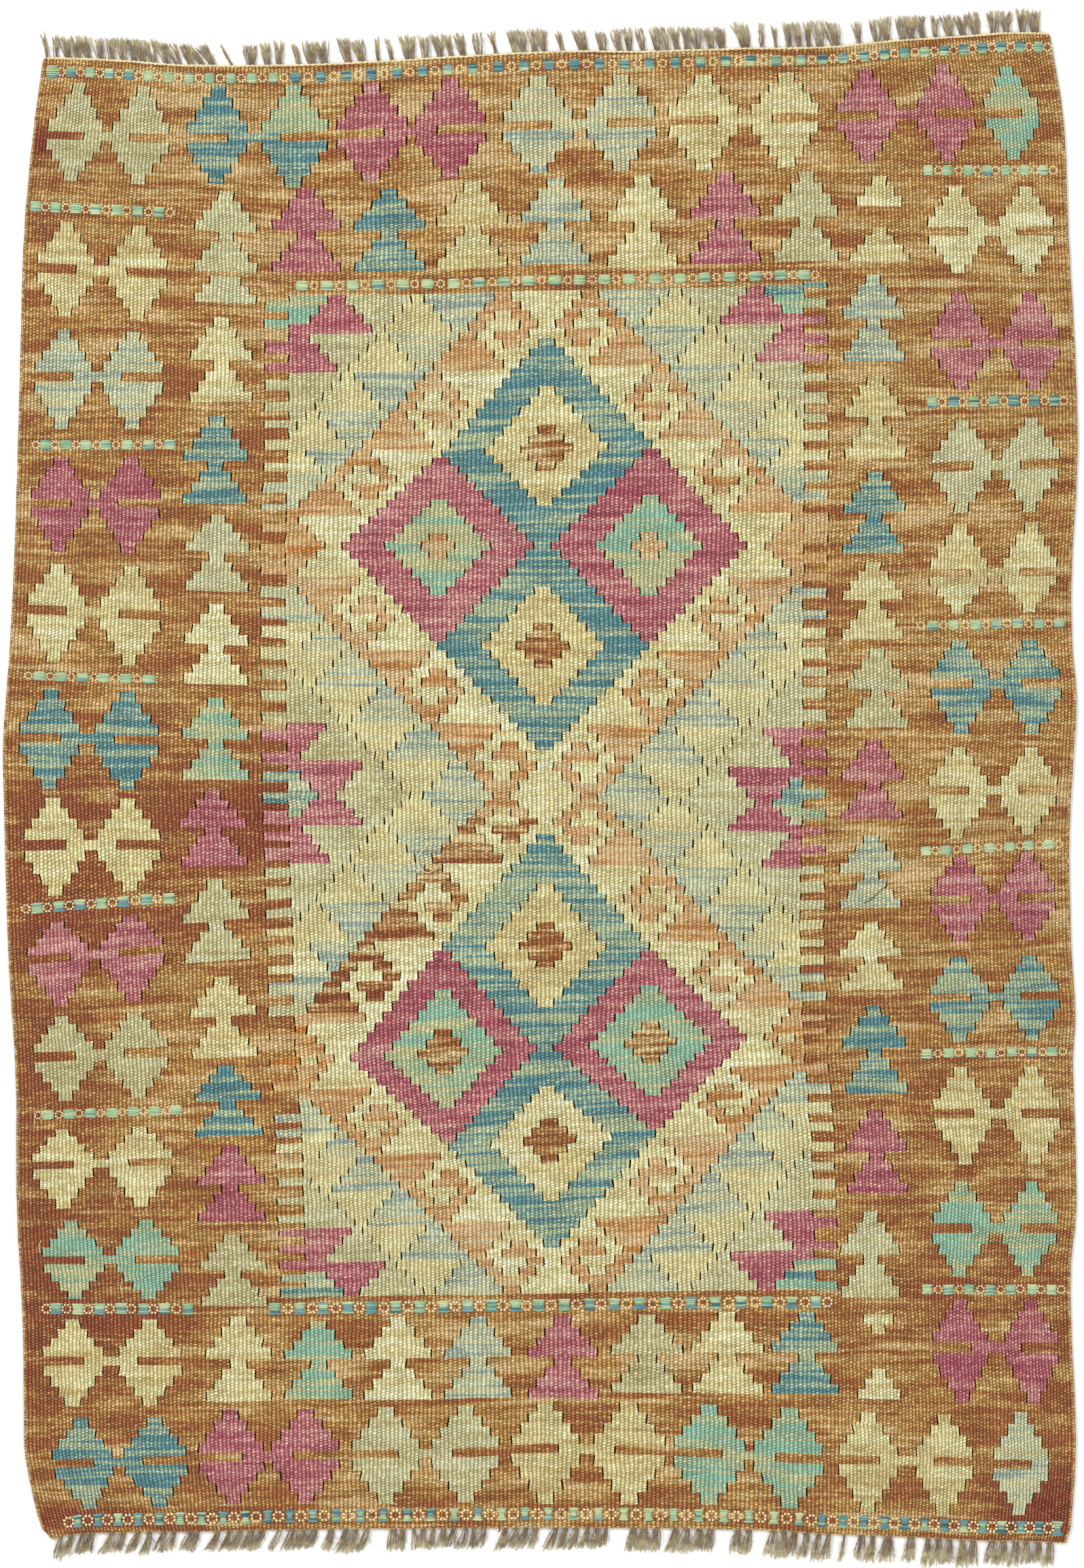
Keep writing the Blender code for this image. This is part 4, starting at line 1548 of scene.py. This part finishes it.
def fringe_strands(bundles, side, outward, seed):
    """All the yarns of one end, in tufts that are narrow at the root, fan out, and are darker at one side as
    painted shade.
    """
    draw = random.Random(seed)
    strands = []
    for start, end, lean, length in bundles:
        tufts = max(1, round((end - start) / TUFT))
        width = (end - start) / tufts
        for tuft in range(tufts):
            middle = start + (tuft + 0.5) * width + draw.uniform(-TUFT_ASIDE, TUFT_ASIDE)
            count = max(3, round(width / YARN_PITCH))
            tuft_lean = lean * draw.uniform(*TUFT_LEAN) + draw.uniform(-TUFT_LEANING, TUFT_LEANING)
            reach = length * draw.uniform(*TUFT_LENGTH)
            for k in range(count):
                across = (k + 0.5) / count - 0.5
                root_x = middle + across * width * TUFT_ROOT + draw.uniform(-ROOT_ASIDE, ROOT_ASIDE)
                tip_x = middle + tuft_lean + across * width * TUFT_TIP + draw.uniform(-TIP_ASIDE, TIP_ASIDE)
                edge = float(along(side, root_x))
                tip_y = edge + outward * reach * draw.uniform(*YARN_LENGTH)
                path = yarn_path(draw, root_x, tip_x, edge - outward * YARN_UNDER, tip_y)
                # More dark warps along the right of each tuft: painted shade on its shadow side.
                tint = draw.choices(TINTS, SHADED_SIDE_ODDS if across > SHADED_SIDE_FROM else USUAL_ODDS)[0]
                strands += [(points, tint) for points in plies(draw, path)]
                fibres = [stray_fibre(draw, path, outward) for _ in range(STRAYS)]
                strands += [(points, draw.choice(STRAY_TINTS)) for points in fibres]
    return strands


def mark_reach(piece, side, outward):
    """Stores how far each point of the fringe lies out from the cloth: 0 at its edge, 1 at the usual tip."""
    points = np.empty(len(piece.data.vertices) * 3, np.float32)
    piece.data.vertices.foreach_get("co", points)
    x, y = points[0::3] / MM, points[1::3] / MM
    store(piece, "reach", "POINT", outward * (y - along(side, x)) / USUAL_FRINGE)


# Twining: ribs between its points, ribs for half a turn, how far it lies out, its waver and its waves.
TWINE_STEP = 0.34
TWINE_TURN = 1.3
TWINE_OUT, TWINE_WAVER = 0.3, 0.25
TWINE_WAVES = (51, 7, 12, 60)
# Distance of a twined strand from the middle, against its radius.
TWINE_SPREAD = 0.8


def twined_end(name, level, outward, radius, sink, material):
    """Two strands twined round the warps along an end of the cloth."""
    strands = []
    ribs = np.arange(LEFT_RIB + 1.0, RIGHT_RIB - 0.5, TWINE_STEP)
    x, y = loom_to_floor(ribs, np.full(ribs.shape, level))
    y = y + outward * TWINE_OUT + TWINE_WAVER * waves(x, y * 0, *TWINE_WAVES)
    z = surface_height(x, y) - sink
    spread = radius * TWINE_SPREAD
    for ply in (0, 1):
        turn = math.pi * (ribs / TWINE_TURN + ply)
        points = np.column_stack((x, y + spread * np.cos(turn), z + spread * np.sin(turn)))
        strands.append(([(*p, 1.0) for p in points.tolist()], 0))
    piece = yarns(name, strands, radius * MM, sides=0)
    wear(piece, material)
    belongs(piece, "kilim_wool")


# Selvedge: faces round it, its radius between two wefts, how uneven it is, its waves, how far in its middle
# lies, and the least height of its underside.
CORD_SIDES = 8
CORD_WAIST = 0.86
CORD_UNEVEN = 0.10
CORD_WAVES = (21, 7, 9, 40)
CORD_IN = 0.5
CORD_LOWEST = 0.02
# Ribs of the weave's pattern that go round half of it.
CORD_RIBS = 2


def selvedge(name, rib, material, radius):
    """The corded side edge: wefts turning round the last thick warps, as a knobbly tube."""
    levels = np.arange(NEAR_LEVEL, FAR_LEVEL + 0.1, BEAT / 2)
    sign = math.copysign(1, rib)
    x, y = loom_to_floor(np.full(levels.shape, float(rib)), levels)
    centre_z = lift(x, y) + bpy.context.scene.kilim_cloth.thickness / MM / 2
    knob = np.where(np.arange(len(levels)) % 2, 1.0, CORD_WAIST) * radius / MM
    knob = knob * (1 + CORD_UNEVEN * waves(levels, levels * 0, *CORD_WAVES))
    vertices, faces, loom = [], [], []
    for k, level in enumerate(levels):
        for n in range(CORD_SIDES):
            angle = 2 * math.pi * n / CORD_SIDES
            out = x[k] - sign * CORD_IN + sign * knob[k] * math.cos(angle)
            high = max(CORD_LOWEST, centre_z[k] + knob[k] * math.sin(angle))
            vertices.append((out * MM, y[k] * MM, high * MM))
            turned = sign * CORD_RIBS * math.cos(angle / 2)
            loom.append((rib - LEFT_RIB + turned, (level - NEAR_LEVEL) / BEAT))
    for k in range(len(levels) - 1):
        for n in range(CORD_SIDES):
            a, b = k * CORD_SIDES + n, k * CORD_SIDES + (n + 1) % CORD_SIDES
            quad = (a, b, b + CORD_SIDES, a + CORD_SIDES)
            faces.append(quad[::-1] if sign > 0 else quad)
    near_end = tuple(range(CORD_SIDES))
    far_end = tuple(range((len(levels) - 1) * CORD_SIDES, len(levels) * CORD_SIDES))
    faces.append(near_end if sign > 0 else near_end[::-1])
    faces.append(far_end[::-1] if sign > 0 else far_end)
    piece = new_piece(name, vertices, faces)
    store_loom(piece, loom)
    wear(piece, material)
    smooth(piece)
    belongs(piece, "kilim_wool")


# The long curled thread, by x and y of points along it.
CURL = (
    (-90.0, -28.0), (-86.5, -37.0), (-93.0, -48.0), (-100.5, -58.0),
    (-98.0, -66.5), (-92.0, -70.5), (-86.0, -67.0), (-82.0, -63.0),
)
# Loose threads lying on the cloth. Name, dye, radius, then x and y of points along it.
LOOSE_THREADS = (
    ("thread_curl", "cream", 0.35, CURL),
    ("thread_dark", "dark", 0.3, ((264.7, -95.3), (271.0, -91.5), (278.0, -85.0), (284.7, -79.7))),
    ("thread_left_1", "cream", 0.3, ((-348.0, -331.5), (-346.5, -336.0), (-347.5, -342.5))),
    ("thread_left_2", "cream", 0.3, ((-412.0, -268.0), (-413.5, -271.5), (-413.0, -276.0))),
    ("thread_left_3", "cream", 0.3, ((-408.0, -371.0), (-410.0, -376.0), (-409.0, -381.0))),
    ("thread_left_4", "cream", 0.3, ((-341.5, -404.0), (-343.0, -409.0), (-342.0, -414.5))),
    ("thread_red_tuft", "red", 0.6, ((-34.0, -605.0), (-33.0, -607.5), (-34.5, -609.5))),
)
# How high a thread's middle lies over the cloth, against its radius.
THREAD_RISE = 0.9


def between(a, b, c, d, t):
    """One coordinate of a smooth curve, at a share of the way from b to c, with a before and d after them."""
    bend = 2 * a - 5 * b + 4 * c - d
    turn = 3 * b - a - 3 * c + d
    return 0.5 * (2 * b + (c - a) * t + bend * t * t + turn * t ** 3)


def eased(points, steps=5):
    """A smooth line through a few points."""
    rows = [points[0], *points, points[-1]]
    line = []
    for neighbours in zip(rows, rows[1:], rows[2:], rows[3:]):
        for k in range(steps):
            line.append(tuple(between(*values, k / steps) for values in zip(*neighbours)))
    return [*line, tuple(points[-1])]


# --------------------------------------------------------------------------------------------------
# Operators
# --------------------------------------------------------------------------------------------------


# Scales of the fibres along x and y: in the slits, of yarns that run any way, and of floats that run along x.
EVEN_FIBRES = (400.0, 400.0)
THREAD_FIBRES = (500.0, 500.0)
TWINE_FIBRES = (700.0, 700.0)
FLOAT_FIBRES = (90.0, 1500.0)


class KILIM_OT_weave_cloth(bpy.types.Operator):
    """Weave the cloth with all its motifs, open along its slits"""

    bl_idname = "kilim.weave_cloth"
    bl_label = "Weave cloth"

    def execute(self, context):
        cloth, dyes = context.scene.kilim_cloth, context.scene.kilim_dyes
        piece = closed_sheet("kilim_cloth", *weave_mesh(cloth.slit_width), cloth.thickness)
        for name in DYES:
            wear(piece, dyed_weave(name, *(tuple(getattr(dyes, f"{name}_{shade}")) for shade, *_ in SHADES)))
        # Painted shade: the walls of the slits, and of the rim, are dark brown and dull so that the slits read
        # as deep shade.
        dark, light = linear(58, 38, 14), linear(100, 70, 34)
        wear(piece, spun_wool("slit_wool_painted_shade", dark, light, EVEN_FIBRES, sheen=0.0, shine=0.0))
        belongs(piece, "kilim_wool", "rug_cloth")
        return {"FINISHED"}


class KILIM_OT_cord_selvedges(bpy.types.Operator):
    """Turn the wefts round the two side edges"""

    bl_idname = "kilim.cord_selvedges"
    bl_label = "Cord selvedges"

    def execute(self, context):
        radius = context.scene.kilim_cloth.selvedge_radius
        ground = bpy.data.materials["wool_ground"]
        selvedge("selvedge_left", LEFT_RIB, ground, radius)
        selvedge("selvedge_right", RIGHT_RIB, ground, radius)
        return {"FINISHED"}


class KILIM_OT_twine_ends(bpy.types.Operator):
    """Twine two cream strands along both ends"""

    bl_idname = "kilim.twine_ends"
    bl_label = "Twine ends"

    def execute(self, context):
        cream = spun_wool("yarn_cream", linear(206, 186, 132), linear(246, 236, 192), TWINE_FIBRES)
        tan = spun_wool("yarn_tan", linear(176, 138, 88), linear(224, 196, 140), TWINE_FIBRES)
        twined_end("twining_far", FAR_LEVEL, 1, 0.62, 0.1, cream)
        twined_end("twining_near", NEAR_LEVEL, -1, 0.45, 0.8, tan)
        return {"FINISHED"}


class KILIM_OT_wrap_lines(bpy.types.Operator):
    """Wrap the raised lines of floats and ring flowers"""

    bl_idname = "kilim.wrap_lines"
    bl_label = "Wrap lines"

    def execute(self, context):
        materials = {
            "leaf": spun_wool("float_leaf", linear(100, 150, 124), linear(184, 208, 162), FLOAT_FIBRES),
            "teal": spun_wool("float_teal", linear(54, 108, 122), linear(132, 174, 166), FLOAT_FIBRES),
            "pale": spun_wool("float_pale", linear(136, 166, 130), linear(212, 220, 170), FLOAT_FIBRES),
            # Deep teal strands: painted shade lines among the teal ones.
            "deep": spun_wool("float_painted_shade", linear(28, 66, 84), linear(78, 132, 140), FLOAT_FIBRES),
            "cream": bpy.data.materials["yarn_cream"],
            "madder": spun_wool("knot_madder", linear(104, 44, 24), linear(176, 96, 56), FLOAT_FIBRES),
        }
        strand, knot = model_float(), model_knot()
        for row in WRAPPED_LINES:
            wrapped_line(row, strand, knot, materials)
        for shape in (strand, knot):
            bpy.data.objects.remove(shape)
        return {"FINISHED"}


class KILIM_OT_comb_fringe(bpy.types.Operator):
    """Comb out the warp ends at both ends of the cloth"""

    bl_idname = "kilim.comb_fringe"
    bl_label = "Comb fringe"

    def execute(self, context):
        radius = context.scene.kilim_cloth.yarn_radius
        materials = (
            warp_wool("warp_grey", linear(122, 102, 78), linear(146, 127, 92), linear(194, 181, 136)),
            warp_wool("warp_pale", linear(200, 186, 164), linear(208, 194, 158), linear(228, 218, 174)),
            warp_wool("warp_dark", linear(72, 50, 32), linear(88, 66, 42), linear(134, 114, 76)),
        )
        ends = (
            ("fringe_far_yarns", FAR_FRINGE, "far", 1, "fringe_top", 31),
            ("fringe_near_yarns", NEAR_FRINGE, "near", -1, "fringe_bottom", 32),
        )
        for name, bundles, side, outward, node, seed in ends:
            piece = yarns(name, fringe_strands(bundles, side, outward, seed), radius, sides=0)
            mark_reach(piece, side, outward)
            wear(piece, *materials)
            belongs(piece, "warp_wool", node)
        return {"FINISHED"}


class KILIM_OT_drop_threads(bpy.types.Operator):
    """Lay the few loose threads on the cloth"""

    bl_idname = "kilim.drop_threads"
    bl_label = "Drop threads"

    def execute(self, context):
        materials = {
            "cream": bpy.data.materials["yarn_cream"],
            "dark": spun_wool("yarn_dark", linear(40, 30, 26), linear(84, 64, 52), THREAD_FIBRES),
            "red": spun_wool("yarn_red", linear(120, 24, 22), linear(190, 60, 44), THREAD_FIBRES),
        }
        for name, dye, radius, points in LOOSE_THREADS:
            line = eased(points)
            strand = [(x, y, float(surface_height(x, y)) + radius * THREAD_RISE, 1.0) for x, y in line]
            piece = yarns(name, [(strand, 0)], radius * MM, sides=1)
            wear(piece, materials[dye])
            belongs(piece, "kilim_wool")
        return {"FINISHED"}


class KILIM_OT_declare_sheet(bpy.types.Operator):
    """A closing step that leaves the scene as it is"""

    bl_idname = "kilim.declare_sheet"
    bl_label = "Declare sheet"

    def execute(self, context):
        return {"FINISHED"}


# The floor and the light: side of the floor in metres, colours, and for each softbox place, side and watts.
FLOOR_SIDE = 14.0
FLOOR_COLOUR = (0.9, 0.9, 0.89)
FLOOR_ROUGHNESS = 0.9
FLOOR_SHINE = 0.1
SKY_COLOUR = (1.0, 0.99, 0.97, 1.0)
SKY_STRENGTH = 0.72
SOFTBOXES = (
    ("softbox_key", (-3.2, 2.6, 3.6), 1.8, 190.0),
    ("softbox_fill", (2.6, -1.8, 3.6), 2.4, 60.0),
)
# The camera straight above: metres that it sees from far to near, what is in its middle, and its height.
VIEW_HEIGHT = 1.2828
VIEW_MIDDLE = (0.0014, 0.0022)
CAMERA_HEIGHT = 5.0
SENSOR = 24.0
FARTHEST = 60.0


class KILIM_OT_set_stage(bpy.types.Operator):
    """Set the pale floor, the soft lights and the camera straight above"""

    bl_idname = "kilim.set_stage"
    bl_label = "Set stage"

    def execute(self, context):
        deselect()
        bpy.ops.mesh.primitive_plane_add(size=FLOOR_SIDE)
        floor = context.object
        floor.name = "floor"
        paint = Nodes("floor_paint")
        paint.put(paint.shader.inputs["Base Color"], FLOOR_COLOUR)
        paint.put(paint.shader.inputs["Roughness"], FLOOR_ROUGHNESS)
        paint.put(paint.shader.inputs["Specular IOR Level"], FLOOR_SHINE)
        wear(floor, paint.material)
        world = bpy.data.worlds.new("studio")
        world.use_nodes = True
        sky = world.node_tree.nodes["Background"]
        sky.inputs["Color"].default_value = SKY_COLOUR
        sky.inputs["Strength"].default_value = SKY_STRENGTH
        context.scene.world = world
        for name, place, side, watts in SOFTBOXES:
            light = bpy.data.lights.new(name, "AREA")
            light.shape, light.size, light.energy = "SQUARE", side, watts
            lamp = bpy.data.objects.new(name, light)
            lamp.location = place
            lamp.rotation_euler = (-Vector(place)).to_track_quat("-Z", "Y").to_euler()
            context.scene.collection.objects.link(lamp)
        camera = bpy.data.cameras.new("camera")
        camera.sensor_fit, camera.sensor_height = "VERTICAL", SENSOR
        camera.lens = SENSOR * CAMERA_HEIGHT / VIEW_HEIGHT
        camera.clip_end = FARTHEST
        viewer = bpy.data.objects.new("camera", camera)
        viewer.location = (*VIEW_MIDDLE, CAMERA_HEIGHT)
        context.scene.collection.objects.link(viewer)
        context.scene.camera = viewer
        context.scene.view_settings.view_transform = "Standard"
        return {"FINISHED"}


MAKING = (
    KILIM_OT_weave_cloth, KILIM_OT_cord_selvedges, KILIM_OT_twine_ends, KILIM_OT_wrap_lines,
    KILIM_OT_comb_fringe, KILIM_OT_drop_threads, KILIM_OT_set_stage, KILIM_OT_declare_sheet,
)


class KILIM_PT_sidebar(bpy.types.Panel):
    """Lists the steps of making the rug."""

    bl_idname = "KILIM_PT_sidebar"
    bl_label = "Kilim rug"
    bl_space_type = "VIEW_3D"
    bl_region_type = "UI"
    bl_category = "Kilim"

    def draw(self, context):
        for group in (context.scene.kilim_cloth, context.scene.kilim_dyes):
            for name in group.__annotations__:
                self.layout.prop(group, name)
        for step in MAKING:
            self.layout.operator(step.bl_idname)


CLASSES = (KilimCloth, KilimDyes, *MAKING, KILIM_PT_sidebar)


def register():
    for cls in CLASSES:
        bpy.utils.register_class(cls)
    bpy.types.Scene.kilim_cloth = bpy.props.PointerProperty(type=KilimCloth)
    bpy.types.Scene.kilim_dyes = bpy.props.PointerProperty(type=KilimDyes)


def unregister():
    del bpy.types.Scene.kilim_cloth
    del bpy.types.Scene.kilim_dyes
    for cls in reversed(CLASSES):
        bpy.utils.unregister_class(cls)


def main():
    register()
    bpy.ops.kilim.weave_cloth()
    bpy.ops.kilim.cord_selvedges()
    bpy.ops.kilim.twine_ends()
    bpy.ops.kilim.wrap_lines()
    bpy.ops.kilim.comb_fringe()
    bpy.ops.kilim.drop_threads()
    bpy.ops.kilim.set_stage()
    bpy.ops.kilim.declare_sheet()


if __name__ == "__main__":
    main()
